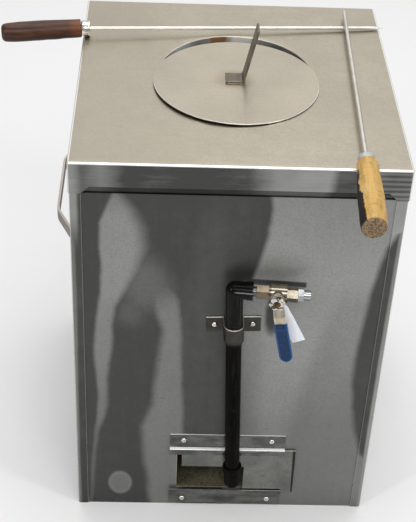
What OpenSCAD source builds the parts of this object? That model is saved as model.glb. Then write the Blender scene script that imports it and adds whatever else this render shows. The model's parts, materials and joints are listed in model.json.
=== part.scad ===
// Small gas-fired pottery kiln: a stainless box with a lift-off lid, a flue cover, a burner riser with a
// lever valve, a sliding air gate over the burner port, and two pokers lying on the lid.
// Millimetres. The origin is the middle of the footprint on the floor: +X right, +Y back, +Z up.

/* [Casing] */
// Width of the casing over its sheet walls
casing_w = 427; // [400:1:480]
// Depth of the casing over its sheet walls
casing_d = 442; // [420:1:480]
// Height of the casing from the floor to its top edge
casing_h = 567; // [520:1:640]
// Thickness of the stainless sheet
sheet_t = 1.5; // [1:0.1:2]
// Width of the wrapper's flanges in front of the front panel
flange_w = 15; // [10:1:24]
// Thickness of the lining on the walls
wall_lining_t = 45; // [35:1:55]
// Thickness of the floor slab
floor_slab_t = 35; // [25:1:40]
// Gap between pieces of the lining
lining_gap = 0.5; // [0.2:0.1:1]

/* [Burner port] */
// Width of the port in the front panel
port_w = 140; // [120:1:160]
// Height of the port in the front panel
port_h = 70; // [60:1:72]
// Sideways place of the port's middle
port_x = 3; // [-4:1:10]
// Height of the port's sill above the floor slab
sill_rise = 0.5; // [0.2:0.1:3]

/* [Gate] */
// Length of the two gate rails
rail_len = 168; // [150:1:190]
// Height of a rail's flange on the panel
rail_flange_h = 27; // [24:1:29]
// Height of the upper rail's lip in front of the gate
rail_lip_h = 10; // [7:1:12]
// Height of the lower rail's lip in front of the gate
sill_lip_h = 7; // [5:1:12]
// How far the rails are set above the middle of the port
lip_rise = 3.5; // [1:0.5:5]
// Thickness of the rail strip
rail_t = 1.5; // [1:0.1:2]
// Length of the rail strip that each bend takes up
rail_bend = 1.2; // [0.9:0.1:1.4]
// Sideways place of the rails' middle
rail_x = 6; // [0:1:12]
// Distance between a rail's two screws
rail_screw_pitch = 128; // [100:1:136]
// Distance of a rail's screws from its step
rail_screw_rise = 16; // [12:1:18]
// Thickness of the gate plate
gate_t = 1.5; // [1:0.1:2]
// Clear space in front of and behind the gate plate
gate_play = 1.6; // [1:0.1:2]
// Clear space above and below the gate plate in its rails
gate_end_play = 0.8; // [0.4:0.1:2]
// Length of the gate plate to the right of the burner
gate_block_w = 75; // [60:1:90]
// Length of the gate arm that passes over the burner
gate_arm_len = 92; // [70:1:100]
// Room between the gate plate and the burner elbow
gate_clear = 2.2; // [1.5:0.1:4]
// How far the gate stands open from its closed place
gate_ajar = 3.4; // [0:0.1:6]

/* [Lid] */
// Overhang of the lid beyond the casing on each side
lid_overhang = 1.5; // [1:0.1:2.2]
// Depth of the lid's skirt
skirt_h = 46; // [40:1:60]
// Height of the recessed band at the foot of the skirt
band_h = 10; // [5:0.5:12]
// Length of the full-depth skirt at each corner
corner_len = 27; // [18:1:50]
// Depth of the locating lip inside the casing
lip_drop = 10; // [6:1:16]
// Side gap between the locating lip and the casing
lip_gap = 0.8; // [0.4:0.1:1.5]
// Radius of the flue hole
flue_r = 105; // [90:1:116]
// Place of the flue hole's middle, towards the back
flue_y = 14; // [-2:1:16]
// Wall of the flue collar
collar_t = 1.2; // [0.8:0.1:2]

/* [Flue cover] */
// Radius of the cover disc
cover_r = 113; // [113:0.2:118]
// Thickness of the cover disc
cover_t = 1.5; // [1:0.1:2]
// How far the cover is pushed towards the front to leave the flue ajar
cover_shift = 28.5; // [0:0.5:30]
// Width of the strip handle
cover_handle_w = 25; // [20:1:40]
// Thickness of the strip handle
cover_handle_t = 3; // [2:0.1:4]
// Length of the strip handle's foot
cover_handle_foot = 24; // [18:1:40]
// Length of the strip handle's upright
cover_handle_h = 79; // [50:1:100]
// Lean of the upright from vertical
cover_handle_lean = 12; // [0:1:25]
// Length of the strip that its bend takes up
cover_handle_bend = 4.2; // [3:0.1:8]
// Place of the bend, to the right of the disc's middle
cover_handle_x = 9.4; // [0:0.2:20]
// Place of the strip's middle, towards the back from the disc's middle
cover_handle_back = 6.5; // [0:0.5:40]

/* [Carry handles] */
// Height of the carry handles' middle above the floor
carry_z = 425; // [380:1:480]
// Height of the strap
carry_strap_h = 16; // [14:1:32]
// Thickness of the strap
carry_strap_t = 3.5; // [2:0.1:4]
// Length of the grip
carry_grip = 130; // [100:1:150]
// Distance between the outer ends of the slanted legs
carry_span = 252; // [240:1:330]
// Length of each end tab on the wall
carry_tab = 30; // [22:1:40]
// Distance of the grip's middle line from the wall
carry_off = 29.5; // [25:0.5:40]
// Length of the strap that each bend takes up
carry_bend = 9; // [5:0.5:14]

/* [Riser] */
// Outside diameter of the riser pipe
pipe_d = 21.3; // [20:0.1:22]
// Bore of the riser pipe
pipe_bore = 16; // [12:0.1:17]
// Distance of the riser's axis from the front panel
riser_off = 17.2; // [17:0.1:20]
// Lean of the riser from vertical, its foot to the right
riser_lean = 2.3; // [0:0.1:3]
// Height of the clamp's middle
clamp_z = 359; // [330:1:380]
// Sideways place of the clamp's middle
clamp_x = 3; // [0:1:6]
// Height of the burner's axis at the lower elbow
burner_z = 70; // [62:1:72]
// Height of the valve's axis at the upper elbow
valve_z = 431; // [420:1:450]
// Turn of the valve arm away from the panel
arm_turn = 8; // [0:1:12]
// Outside diameter of an elbow's body
elbow_d = 23.6; // [23.4:0.1:25]
// Outside diameter of an elbow's collar
collar_d = 25; // [24.4:0.1:28]
// Distance from an elbow's middle to the end of its short arm
elbow_reach = 25; // [24:1:30]
// Distance from the lower elbow's middle to the top of its upright arm
upright_reach = 33; // [25:1:36]
// Outside diameter of the collar on the valve's arm
arm_collar_d = 25.2; // [24.6:0.1:27]
// Length of an elbow's collar
collar_h = 9; // [6:1:11]
// Length of the collar on the burner's arm
burner_collar_h = 6; // [4:0.5:8]
// Outside diameter of the long collar that the clamp holds
held_d = 24.4; // [24:0.1:27]
// Length of the long collar that the clamp holds
clamp_collar_h = 36; // [32:1:44]
// Depth of a threaded socket
socket_depth = 12; // [9:1:13]
// Radial clearance of a threaded joint
thread_gap = 0.05; // [0.02:0.01:0.1]
// Length of the burner tube from its socket
burner_tube_len = 52; // [44:1:60]
// Outside diameter of the burner nozzle
nozzle_d = 34; // [30:1:38]
// Length of the burner nozzle
nozzle_len = 38; // [30:1:44]
// Length of the burner nozzle's flare beyond the tube
flare_len = 19; // [12:1:24]
// Wall of the burner nozzle's flared mouth
nozzle_wall = 2; // [1.5:0.1:3]
// Length of the gas jet
jet_len = 14; // [10:1:20]
// Bore of the gas jet
jet_bore = 1.6; // [1:0.1:3]

/* [Clamp] */
// Height of the clamp strap
clamp_h = 26; // [24:1:31]
// Thickness of the clamp strap
clamp_t = 1.5; // [1.2:0.1:3]
// Gap between the clamp and the collar that it holds
clamp_gap = 0.2; // [0.1:0.1:0.5]
// Width of each clamp ear
clamp_ear_w = 23; // [17:1:26]

/* [Valve] */
// Distance across the flats of the valve's hexes
valve_hex = 18.4; // [17.8:0.1:25]
// Turn of the valve body's own hex about the gas way
hex_turn = 23; // [0:1:59]
// Turn of the screwed end's hex about the gas way
end_turn = 53; // [0:1:59]
// Length of the valve's screwed end
valve_end_len = 16.5; // [12:0.5:20]
// Length of the valve body's barrel
valve_barrel_len = 23.5; // [23.5:0.5:30]
// Diameter of the valve body's barrel
barrel_d = 24; // [24:0.1:27]
// Length of the valve body's own hex
valve_hex_len = 14; // [10:0.5:18]
// Depth of the valve's sockets
valve_socket = 9; // [7:0.5:9.5]
// Length of the nipple that shows between the elbow and the valve
nipple_gap = 4.5; // [2:0.5:8]
// Outside diameter of the nipple
nipple_d = 13.2; // [13:0.1:18]
// Bore of the valve and its nipples
gas_bore = 9; // [8:0.5:11.5]
// Diameter of the valve ball
ball_d = 18.6; // [18:0.1:19]
// Room round the valve ball
ball_room = 0.5; // [0.3:0.1:0.8]
// Thickness of the valve's seats
seat_t = 2.6; // [2:0.1:3]
// How far each seat reaches over the ball
seat_bite = 1.2; // [0.8:0.1:1.6]
// Diameter of the valve stem
stem_d = 9; // [7:0.1:10]
// Wall left between the ball's bore and the stem
ball_web = 1; // [0.6:0.1:1.5]
// How far the stem stands out of the lever nut
stem_proud = 1; // [0:0.1:2]
// Running clearance round the stem and the ball
run_gap = 0.08; // [0.05:0.01:0.1]
// Height of the stem boss above the valve's axis
boss_h = 12.5; // [12.5:0.5:20]
// Diameter of the stem boss
boss_d = 19; // [17:0.5:22]
// Distance across the flats of the packing nut
packing_hex = 17; // [15:0.5:19]
// Thickness of the packing nut
packing_h = 3.5; // [3:0.5:7]
// Distance across the flats of the lever nut
lever_nut_hex = 19; // [16:0.5:21]
// Thickness of the lever nut
lever_nut_h = 5; // [4:0.5:8]
// Distance across the flats of the gas nipple
gas_hex = 16; // [15.5:0.5:21]
// Length of the gas nipple's hex
gas_hex_len = 7.5; // [5:0.5:10]
// Diameter of the gas nipple's spigot
spigot_d = 13.2; // [12.8:0.1:14]
// Length of the gas nipple's spigot
spigot_len = 9; // [9:1:15]
// Bore of the gas nipple
spigot_bore = 7; // [5:0.5:9]

/* [Lever] */
// Length of the lever from the stem to its tip
lever_len = 97; // [80:1:110]
// Width of the lever strip
lever_w = 15; // [13:0.5:16]
// Thickness of the lever strip
lever_t = 2.5; // [2:0.1:3]
// Step of the lever away from the valve
lever_step = 5; // [2:0.5:8]
// Distance from the stem to the lever's heel
lever_heel = 9.5; // [8:0.5:12]
// Distance from the stem to the start of the lever's step
step_from = 14; // [12:0.5:16]
// Distance from the stem to the end of the lever's step
step_to = 23; // [20:0.5:26]
// Length of the lever strip that each bend takes up
lever_bend = 3; // [2:0.1:4]
// Angle that the valve stands open, from closed
lever_rest = 9.4; // [0:0.2:40]
// Distance from the stem to the start of the sleeve
sleeve_from = 33; // [28:1:40]
// Wall of the lever's sleeve
sleeve_wall = 1.4; // [1:0.1:2]
// Length of the paper tag
tag_len = 73; // [45:1:80]
// Width of the paper tag
tag_w = 18; // [16:1:22]
// Width of the paper tag's neck
tag_neck = 12; // [11:0.5:15]
// Length of the paper tag's slanted shoulders
tag_shoulder = 14.4; // [10:0.2:20]
// Thickness of the paper tag
tag_t = 0.5; // [0.4:0.1:0.8]
// Room for the paper tag behind the lever
tag_play = 0.3; // [0.2:0.1:0.6]
// Angle of the tag from the lever
tag_angle = 15; // [5:1:30]

/* [Pokers] */
// Diameter of both rods
rod_d = 5.5; // [4:0.1:6.5]
// Length of the tapered tip
rod_tip = 14; // [8:1:24]
// Diameter of both ferrules
ferrule_d = 22; // [20:0.5:26]
// Length of both ferrules
ferrule_len = 13; // [10:1:15]
// Step from a ferrule out to its wooden handle
neck_step = 1.4; // [0.2:0.1:2]
// Length of a rod's tang inside its handle
tang_len = 40; // [25:1:60]
// Clear space under what lies loose on the lid
rest_gap = 0.3; // [0.2:0.1:0.5]
// Length of the side poker's rod
side_rod_len = 428; // [380:1:440]
// Length of the side poker's handle
side_grip_len = 112; // [90:1:140]
// Diameter of the side poker's handle at its end
side_grip_d = 28; // [25:0.5:34]
// Distance of the side poker's ferrule from the lid's back edge
side_poker_y = 112.5; // [100:0.5:132]
// How far the side poker's ferrule stands out past the lid's left edge
side_ferrule_out = 3; // [0:0.5:8]
// Turn of the side poker from the lid's edge
side_poker_turn = 5.7; // [3:0.1:6]
// Droop of the side poker's handle
side_grip_droop = 3.5; // [0:0.5:8]
// Length of the front poker's rod
front_rod_len = 414; // [380:1:430]
// Length of the front poker's handle
front_grip_len = 120; // [110:1:170]
// Diameter of the front poker's handle at its end
front_grip_d = 32.5; // [27:0.5:36]
// Distance of the front poker's ferrule from the lid's right edge
front_poker_x = 61; // [45:1:75]
// Length of the front poker's ferrule that lies on the lid
front_ferrule_in = 9; // [7:0.5:21]
// Turn of the front poker from the lid's edge
front_poker_turn = 1.7; // [0:0.1:4]
// Droop of the front poker's handle
front_grip_droop = 6; // [0:0.5:10]

/* [Kiln furniture] */
// Side of the square kiln shelf
shelf_w = 240; // [200:1:280]
// Thickness of the kiln shelf
shelf_t = 15; // [10:1:25]
// Height of the shelf posts
post_h = 95; // [80:1:130]
// Diameter of the shelf posts
post_d = 38; // [30:1:45]
// Bore of the shelf posts
post_bore = 15; // [10:1:20]
// Distance from a post's middle to the shelf's edge
post_inset = 27; // [23:1:40]

/* [Fasteners] */
// Diameter of the screws' shanks
screw_d = 4; // [3:0.1:5]
// Diameter of the screws' heads
screw_head_d = 8.5; // [7:0.1:9.5]
// Height of the screws' heads
screw_head_h = 3; // [2:0.1:4]
// Length of a screw's shank behind the panel
screw_reach = 8; // [5:1:14]
// Radius of the screws' and rivets' domes
dome_r = 6.4; // [6:0.1:8]
// Radial clearance of a screw or stud in its hole
hole_gap = 0.1; // [0.05:0.05:0.3]
// Height of a rivet's tail inside the wall
rivet_tail = 2; // [1:0.5:4]
// Room round a rivet's tail in the lining
tail_room = 0.5; // [0.2:0.1:1]
// Diameter of the lining anchors' studs
anchor_d = 6; // [4:0.5:8]
// Diameter of the lining anchors' washers
washer_d = 34; // [24:1:40]
// Thickness of the lining anchors' washers
washer_t = 3; // [2:0.5:5]
// Height of the wall anchors
wall_anchor_z = 368; // [300:1:430]
// Distance between the two anchors of a side wall
side_anchor_pitch = 221; // [160:1:260]
// Distance between the two anchors of the back wall
back_anchor_pitch = 171; // [120:1:240]
// Distance of each lid anchor from the chamber's walls
lid_anchor_in = 32; // [24:1:40]

/* [Hidden] */
$fn = 64;
// Overlap of a cutting shape past the face that it cuts
past = 1;

// Casing: the front panel stands behind the wrapper's flanges
panel_y = -casing_d / 2 + sheet_t;
panel_back = panel_y + sheet_t;
back_wall = casing_d / 2 - sheet_t;
inner_x = casing_w / 2 - sheet_t;
floor_z = sheet_t + floor_slab_t;
lining_top = casing_h - lip_drop - lining_gap;
chamber_x = inner_x - wall_lining_t;
chamber_front = panel_back + wall_lining_t;
chamber_back = back_wall - wall_lining_t;
chamber_y = (chamber_front + chamber_back) / 2;

// Port and gate: the rails' channels lie just above and below the port
port_z = floor_z + sill_rise;
channel_d = gate_play * 2 + gate_t;
rail_depth = channel_d + rail_t;
top_step = port_z + port_h + rail_lip_h + lip_rise;
bottom_step = port_z - rail_lip_h + lip_rise;
gate_top = top_step - gate_end_play;
gate_bottom = bottom_step + gate_end_play;

// Riser: its axis leans about the clamp's middle
burner_drop = burner_z - clamp_z;
burner_x = clamp_x - burner_drop * tan(riser_lean);
collar_foot = -clamp_collar_h / 2;
clamp_inner = held_d / 2 + clamp_gap;
clamp_half = clamp_inner + clamp_t;
notch_right = burner_x + elbow_d / 2 + gate_clear + gate_ajar;
notch_left = notch_right - gate_arm_len;
notch_top = burner_z + elbow_d / 2 + gate_clear;
burner_end = elbow_reach - socket_depth + burner_tube_len;
nozzle_start = burner_end + flare_len - nozzle_len;

// Valve: lengths along the arm from the upper elbow's middle
nipple_in = elbow_reach - socket_depth;
valve_start = elbow_reach + nipple_gap;
barrel_start = valve_start + valve_end_len;
barrel_end = barrel_start + valve_barrel_len;
valve_stop = barrel_end + valve_hex_len;
stem_x = (barrel_start + barrel_end) / 2;
cavity_r = ball_d / 2 + ball_room;
cavity_half = ball_d / 2 - seat_bite;
nut_z = boss_h + packing_h;
tag_room = tag_t + tag_play;
hub_z = nut_z + tag_room;
lever_top = hub_z + lever_t;
stem_top = lever_top + lever_nut_h + stem_proud;
stem_foot = gas_bore / 2 + ball_web;
grip_z = hub_z + lever_step;
sleeve_w = lever_w + 2 * sleeve_wall;
strip_end = lever_len - sleeve_w / 2;

// Lid: its foot plates stand on the casing's top edge
lid_w = casing_w + 2 * lid_overhang;
lid_d = casing_d + 2 * lid_overhang;
lid_top = casing_h + skirt_h;
lip_x = inner_x - lip_gap;
lip_y = casing_d / 2 - 2 * sheet_t - lip_gap;
lid_lining_foot = casing_h - lip_drop;
lid_under = lid_top - sheet_t;
band_top = casing_h + band_h;
foot_z = casing_h + rest_gap;
foot_deep = lid_d / 2 - lip_y + sheet_t / 2;
cover_y = flue_y - cover_shift;
cover_top = lid_top + rest_gap + cover_t;

// Pokers: each lies on its ferrule, the side one also on its tip, the front one on the side one's rod
ferrule_r = ferrule_d / 2;
poker_z = lid_top + rest_gap + ferrule_r;
side_line_x = -lid_w / 2 + ferrule_len - side_ferrule_out;
side_line_y = lid_d / 2 - side_poker_y;
side_drop = asin((ferrule_r - rod_d / 2) / side_rod_len);
front_line_x = lid_w / 2 - front_poker_x;
front_line_y = -lid_d / 2 + front_ferrule_in;
poker_gap = [front_line_x - side_line_x, front_line_y - side_line_y];
cross_turn = [cos(front_poker_turn), -sin(front_poker_turn)];
cross_run = poker_gap * cross_turn / cos(side_poker_turn + front_poker_turn);
cross_far = (cross_run * sin(side_poker_turn) - poker_gap[1]) / cos(front_poker_turn);
cross_z = poker_z - cross_run * tan(side_drop) + rod_d + rest_gap;
front_drop = atan((poker_z - cross_z) / cross_far);

// Shape of a turned handle: how soon it swells, and how far and how late its end is rounded
swell_rate = 1.4;
end_round = 0.3;
end_power = 30;

// Colours
steel = "#9c9a94";
lid_steel = "#b9b2a4";
bright_steel = "#cfcfcc";
black_iron = "#1c1c1d";
nickel = "#b6a888";
zinc = "#aeb4b8";
fibre = "#6b5f49";
cordierite = "#b9a78c";
dark_wood = "#5a2a1e";
light_wood = "#c79a54";
vinyl = "#123a86";
card = "#f1f2f4";
seat_white = "#e8e4d8";

// A path of points with each inner corner eased by a short curve that starts cut before it
function corner_curve(a, v, b, cut) =
  let (s = v + (a - v) * cut / norm(a - v), e = v + (b - v) * cut / norm(b - v))
  [for (i = [0:4]) let (t = i / 4) s * (1 - t) * (1 - t) + v * 2 * t * (1 - t) + e * t * t];
function eased(path, cut) = concat(
  [path[0]],
  [for (i = [1:len(path) - 2]) each corner_curve(path[i - 1], path[i], path[i + 1], cut)],
  [path[len(path) - 1]]
);

// The outline of a strip of even thickness along a path
function left_of(a, b) = [a[1] - b[1], b[0] - a[0]] / norm(b - a);
function mitre(path, i) =
  let (
    last = len(path) - 1,
    n1 = left_of(path[max(i - 1, 0)], path[max(i, 1)]),
    n2 = left_of(path[min(i, last - 1)], path[min(i + 1, last)])
  ) (n1 + n2) / (1 + n1 * n2);
function strip_outline(path, t) = concat(
  [for (i = [0:len(path) - 1]) path[i] + mitre(path, i) * t / 2],
  [for (i = [len(path) - 1:-1:0]) path[i] - mitre(path, i) * t / 2]
);

// A flat strip of the given width, bent along a path
module bent_strip(path, t, width, cut) {
  linear_extrude(width) polygon(strip_outline(eased(path, cut), t));
}

// A block between two corners
module block(low, high) {
  translate(low) cube(high - low);
}

// A hexagonal bar along +Z
module hex_bar(across, h) {
  cylinder(d = across / cos(30), h = h, $fn = 6);
}

// A tube along +Z
module tube(od, id, h) {
  difference() {
    cylinder(d = od, h = h);
    translate([0, 0, -past]) cylinder(d = id, h = h + 2 * past);
  }
}

// Places: the riser's axis at the clamp, the valve arm with X along it, and the stem with Z out of it
module on_riser() {
  translate([clamp_x, panel_y, clamp_z]) rotate([0, -riser_lean, 0]) translate([0, -riser_off, 0]) children();
}
module on_arm() {
  on_riser() translate([0, 0, valve_z - clamp_z]) rotate([0, 0, -arm_turn]) children();
}
module along_arm(x) {
  on_arm() translate([x, 0, 0]) rotate([0, 90, 0]) children();
}
module on_stem() {
  on_arm() translate([stem_x, 0, 0]) rotate([90, 0, 0]) children();
}
module on_lever() {
  on_stem() rotate([0, 0, lever_rest]) children();
}
module on_burner(y) {
  on_riser() translate([0, y, burner_drop]) rotate([-90, 0, 0]) children();
}
module on_side_poker() {
  translate([side_line_x, side_line_y, poker_z]) rotate([0, side_drop, side_poker_turn]) children();
}
module on_front_poker() {
  translate([front_line_x, front_line_y, poker_z]) rotate([0, front_drop, 90 - front_poker_turn])
    children();
}

// Places of the screws, each with Z out of the panel
module at_rail_screws() {
  for (side = [-1, 1], z = [top_step + rail_screw_rise, bottom_step - rail_screw_rise])
    translate([rail_x + side * rail_screw_pitch / 2, panel_y, z]) rotate([90, 0, 0]) children();
}
module at_clamp_screws() {
  for (side = [-1, 1])
    translate([clamp_x, panel_y, clamp_z]) rotate([0, -riser_lean, 0])
      translate([side * (clamp_half + clamp_ear_w / 2), 0, 0]) rotate([90, 0, 0]) children();
}
module screw_holes(reach) {
  at_rail_screws() screw_hole(reach);
  at_clamp_screws() screw_hole(reach);
}
module screw_hole(reach) {
  translate([0, 0, -reach]) cylinder(d = screw_d + 2 * hole_gap, h = reach + sheet_t + clamp_t + past);
}
module pan_screw(under) {
  translate([0, 0, -screw_reach]) cylinder(d = screw_d, h = screw_reach + under + past);
  translate([0, 0, under]) domed_head();
}
module domed_head() {
  intersection() {
    cylinder(d = screw_head_d, h = screw_head_h);
    translate([0, 0, screw_head_h - dome_r]) sphere(r = dome_r);
  }
}

// Places of the lining anchors, each with Z from the wall into the chamber
module at_wall_anchors() {
  for (y = [-1, 1], side = [-1, 1])
    translate([side * inner_x, chamber_y + y * side_anchor_pitch / 2, wall_anchor_z])
      rotate([0, -90 * side, 0]) children();
  for (x = [-1, 1])
    translate([x * back_anchor_pitch / 2, back_wall, wall_anchor_z]) rotate([90, 0, 0]) children();
}
module at_lid_anchors() {
  for (x = [-1, 1], y = [chamber_front + lid_anchor_in, chamber_back - lid_anchor_in])
    translate([x * (chamber_x - lid_anchor_in), y, lid_under]) rotate([180, 0, 0]) children();
}
module anchor(depth) {
  cylinder(d = anchor_d, h = depth + washer_t);
  translate([0, 0, depth]) cylinder(d = washer_d, h = washer_t);
}
module anchor_hole(depth) {
  translate([0, 0, -past]) cylinder(d = anchor_d + 2 * hole_gap, h = depth + 2 * past);
}

// Places of the carry handles' rivets, each with Z out of the wall
module at_rivets() {
  for (side = [-1, 1], end = [-1, 1])
    translate([side * inner_x, end * (carry_span + carry_tab) / 2, carry_z])
      rotate([0, 90 * side, 0]) children();
}

// Casing
module casing_wrapper() {
  color(steel) difference() {
    block([-casing_w / 2, -casing_d / 2, 0], [casing_w / 2, casing_d / 2, casing_h]);
    block([-inner_x, -casing_d / 2 + sheet_t, -past], [inner_x, back_wall, casing_h + past]);
    block(
      [-casing_w / 2 + flange_w, -casing_d / 2 - past, -past],
      [casing_w / 2 - flange_w, 0, casing_h + past]
    );
    at_rivets() translate([0, 0, -past]) cylinder(d = screw_d + 2 * hole_gap, h = sheet_t + 2 * past);
  }
}

module front_panel() {
  color(steel) difference() {
    block([-inner_x, panel_y, 0], [inner_x, panel_back, casing_h]);
    port_block(panel_y - past, panel_back + past, port_z);
    screw_holes(sheet_t + past);
  }
}
module port_block(y0, y1, z0) {
  block([port_x - port_w / 2, y0, z0], [port_x + port_w / 2, y1, port_z + port_h]);
}

module base_pan() {
  color(steel) block([-inner_x, panel_back, 0], [inner_x, back_wall, sheet_t]);
}

module floor_slab() {
  color(fibre) difference() {
    block([-inner_x, panel_back, sheet_t], [inner_x, back_wall, floor_z]);
    screw_holes(screw_reach + sheet_t + past);
  }
}

// Lining: the side boards run the whole depth, and the front and back boards stand between them
module lining_front() {
  color(fibre) difference() {
    block([lining_gap - chamber_x, panel_back, floor_z], [chamber_x - lining_gap, chamber_front, lining_top]);
    port_block(panel_back - past, chamber_front + past, floor_z - past);
    screw_holes(screw_reach + past);
  }
}

module lining_back() {
  color(fibre) difference() {
    block([lining_gap - chamber_x, chamber_back, floor_z], [chamber_x - lining_gap, back_wall, lining_top]);
    at_wall_anchors() anchor_hole(wall_lining_t);
  }
}

module side_lining(side) {
  color(fibre) difference() {
    translate([side * (inner_x + chamber_x) / 2, 0, 0])
      block([-wall_lining_t / 2, panel_back, floor_z], [wall_lining_t / 2, back_wall, lining_top]);
    at_wall_anchors() anchor_hole(wall_lining_t);
    at_rivets() translate([0, 0, -rivet_tail - past])
      cylinder(d = screw_head_d + 2 * tail_room, h = rivet_tail + past);
  }
}
module lining_left() { side_lining(-1); }
module lining_right() { side_lining(1); }

module wall_anchors() {
  color(cordierite) at_wall_anchors() anchor(wall_lining_t);
}

// Kiln furniture
module kiln_shelf() {
  color(cordierite) translate([0, chamber_y, floor_z + post_h])
    block([-shelf_w / 2, -shelf_w / 2, 0], [shelf_w / 2, shelf_w / 2, shelf_t]);
}

module shelf_posts() {
  reach = shelf_w / 2 - post_inset;
  color(cordierite) for (x = [-1, 1], y = [-1, 1])
    translate([x * reach, chamber_y + y * reach, floor_z]) tube(post_d, post_bore, post_h);
}

// Carry handles: a strap bent out from the wall, riveted through its end tabs
module carry_handle() {
  tab_y = carry_span / 2 + carry_tab;
  lie = carry_strap_t / 2;
  path = [
    [lie, -tab_y], [lie, -carry_span / 2], [carry_off, -carry_grip / 2],
    [carry_off, carry_grip / 2], [lie, carry_span / 2], [lie, tab_y]
  ];
  color(steel) difference() {
    translate([casing_w / 2, 0, carry_z - carry_strap_h / 2])
      bent_strip(path, carry_strap_t, carry_strap_h, carry_bend);
    at_rivets() cylinder(d = screw_d + 2 * hole_gap, h = carry_off);
  }
}
module handle_left() { mirror([1, 0, 0]) carry_handle(); }
module handle_right() { carry_handle(); }

module handle_rivets() {
  color(bright_steel) at_rivets() {
    translate([0, 0, -rivet_tail]) cylinder(d = screw_head_d, h = rivet_tail);
    translate([0, 0, -past]) cylinder(d = screw_d, h = sheet_t + carry_strap_t + 2 * past);
    translate([0, 0, sheet_t + carry_strap_t]) domed_head();
  }
}

// Gate: two rails of Z section, their lips turned towards each other, hold the plate off the panel
module gate_rail(step, up, lip_h) {
  lie = rail_t / 2;
  out = rail_depth - lie;
  flat = step + up * lie;
  path = [
    [-lie, step + up * rail_flange_h], [-lie, flat], [-out, flat], [-out, flat - up * lip_h]
  ];
  color(bright_steel) difference() {
    translate([rail_x - rail_len / 2, panel_y, 0]) rotate([90, 0, 90])
      bent_strip(path, rail_t, rail_len, rail_bend);
    at_rail_screws() screw_hole(past);
  }
}
module top_rail() { gate_rail(top_step, 1, rail_lip_h); }
module bottom_rail() { gate_rail(bottom_step, -1, sill_lip_h); }

module rail_screws() {
  color(bright_steel) at_rail_screws() pan_screw(rail_t);
}

module air_gate() {
  front = panel_y - gate_play - gate_t;
  color(steel) difference() {
    block([notch_left, front, gate_bottom], [notch_right + gate_block_w, front + gate_t, gate_top]);
    block(
      [notch_left - past, front - past, gate_bottom - past],
      [notch_right, front + gate_t + past, notch_top]
    );
  }
}

// Clamp: a saddle strap over the long collar, its ears flat on the panel
module pipe_clamp() {
  color(steel) difference() {
    translate([clamp_x, panel_y, clamp_z]) rotate([0, -riser_lean, 0]) translate([0, 0, -clamp_h / 2])
      difference() {
        union() {
          translate([0, -riser_off, 0]) cylinder(r = clamp_half, h = clamp_h);
          block([-clamp_half, -riser_off, 0], [clamp_half, 0, clamp_h]);
          block([-clamp_half - clamp_ear_w, -clamp_t, 0], [clamp_half + clamp_ear_w, 0, clamp_h]);
        }
        translate([0, -riser_off, -past]) cylinder(r = clamp_inner, h = clamp_h + 2 * past);
        block([-clamp_inner, -riser_off, -past], [clamp_inner, past, clamp_h + past]);
      }
    at_clamp_screws() screw_hole(past);
  }
}

module clamp_screws() {
  color(bright_steel) at_clamp_screws() pan_screw(clamp_t);
}

// Riser and burner
module riser_pipe() {
  foot = burner_drop + upright_reach - socket_depth;
  color(black_iron) on_riser() translate([0, 0, foot])
    tube(pipe_d, pipe_bore, collar_foot + socket_depth - foot);
}

module upper_elbow() {
  leg = valve_z - clamp_z - collar_foot;
  socket = pipe_d + 2 * thread_gap;
  color(black_iron) on_arm() difference() {
    union() {
      sphere(d = elbow_d);
      translate([0, 0, -leg]) cylinder(d = elbow_d, h = leg);
      translate([0, 0, -leg]) cylinder(d = held_d, h = clamp_collar_h);
      rotate([0, 90, 0]) cylinder(d = elbow_d, h = elbow_reach);
      translate([elbow_reach - collar_h, 0, 0]) rotate([0, 90, 0])
        cylinder(d = arm_collar_d, h = collar_h);
    }
    sphere(d = pipe_bore);
    translate([0, 0, -leg - past]) cylinder(d = pipe_bore, h = leg + past);
    translate([0, 0, -leg - past]) cylinder(d = socket, h = socket_depth + past);
    rotate([0, 90, 0]) cylinder(d = pipe_bore, h = elbow_reach + past);
    translate([nipple_in, 0, 0]) rotate([0, 90, 0])
      cylinder(d = nipple_d + 2 * thread_gap, h = socket_depth + past);
  }
}

module lower_elbow() {
  socket = pipe_d + 2 * thread_gap;
  color(black_iron) on_riser() translate([0, 0, burner_drop]) difference() {
    union() {
      sphere(d = elbow_d);
      cylinder(d = elbow_d, h = upright_reach);
      translate([0, 0, upright_reach - collar_h]) cylinder(d = collar_d, h = collar_h);
      rotate([-90, 0, 0]) cylinder(d = elbow_d, h = elbow_reach);
      rotate([-90, 0, 0]) translate([0, 0, elbow_reach - burner_collar_h])
        cylinder(d = collar_d, h = burner_collar_h);
    }
    sphere(d = pipe_bore);
    cylinder(d = pipe_bore, h = upright_reach);
    translate([0, 0, upright_reach - socket_depth]) cylinder(d = socket, h = socket_depth + past);
    rotate([-90, 0, 0]) cylinder(d = pipe_bore, h = elbow_reach);
    rotate([-90, 0, 0]) translate([0, 0, elbow_reach - socket_depth])
      cylinder(d = socket, h = socket_depth + past);
  }
}

module burner_tube() {
  color(black_iron) on_burner(elbow_reach - socket_depth) tube(pipe_d, pipe_bore, burner_tube_len);
}

module burner_nozzle() {
  socket = pipe_d + 2 * thread_gap;
  flare = nozzle_d - 2 * nozzle_wall - socket;
  color(black_iron) on_burner(nozzle_start) difference() {
    cylinder(d = nozzle_d, h = nozzle_len);
    translate([0, 0, -past]) cylinder(d = socket, h = nozzle_len);
    translate([0, 0, nozzle_len - flare_len])
      cylinder(d1 = socket, d2 = socket + flare * (1 + past / flare_len), h = flare_len + past);
  }
}

module gas_jet() {
  color(nickel) on_burner(elbow_reach) tube(pipe_bore - 2 * thread_gap, jet_bore, jet_len);
}

// Valve
module close_nipple() {
  color(zinc) along_arm(nipple_in) tube(nipple_d, gas_bore, socket_depth + nipple_gap + valve_socket);
}

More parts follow.
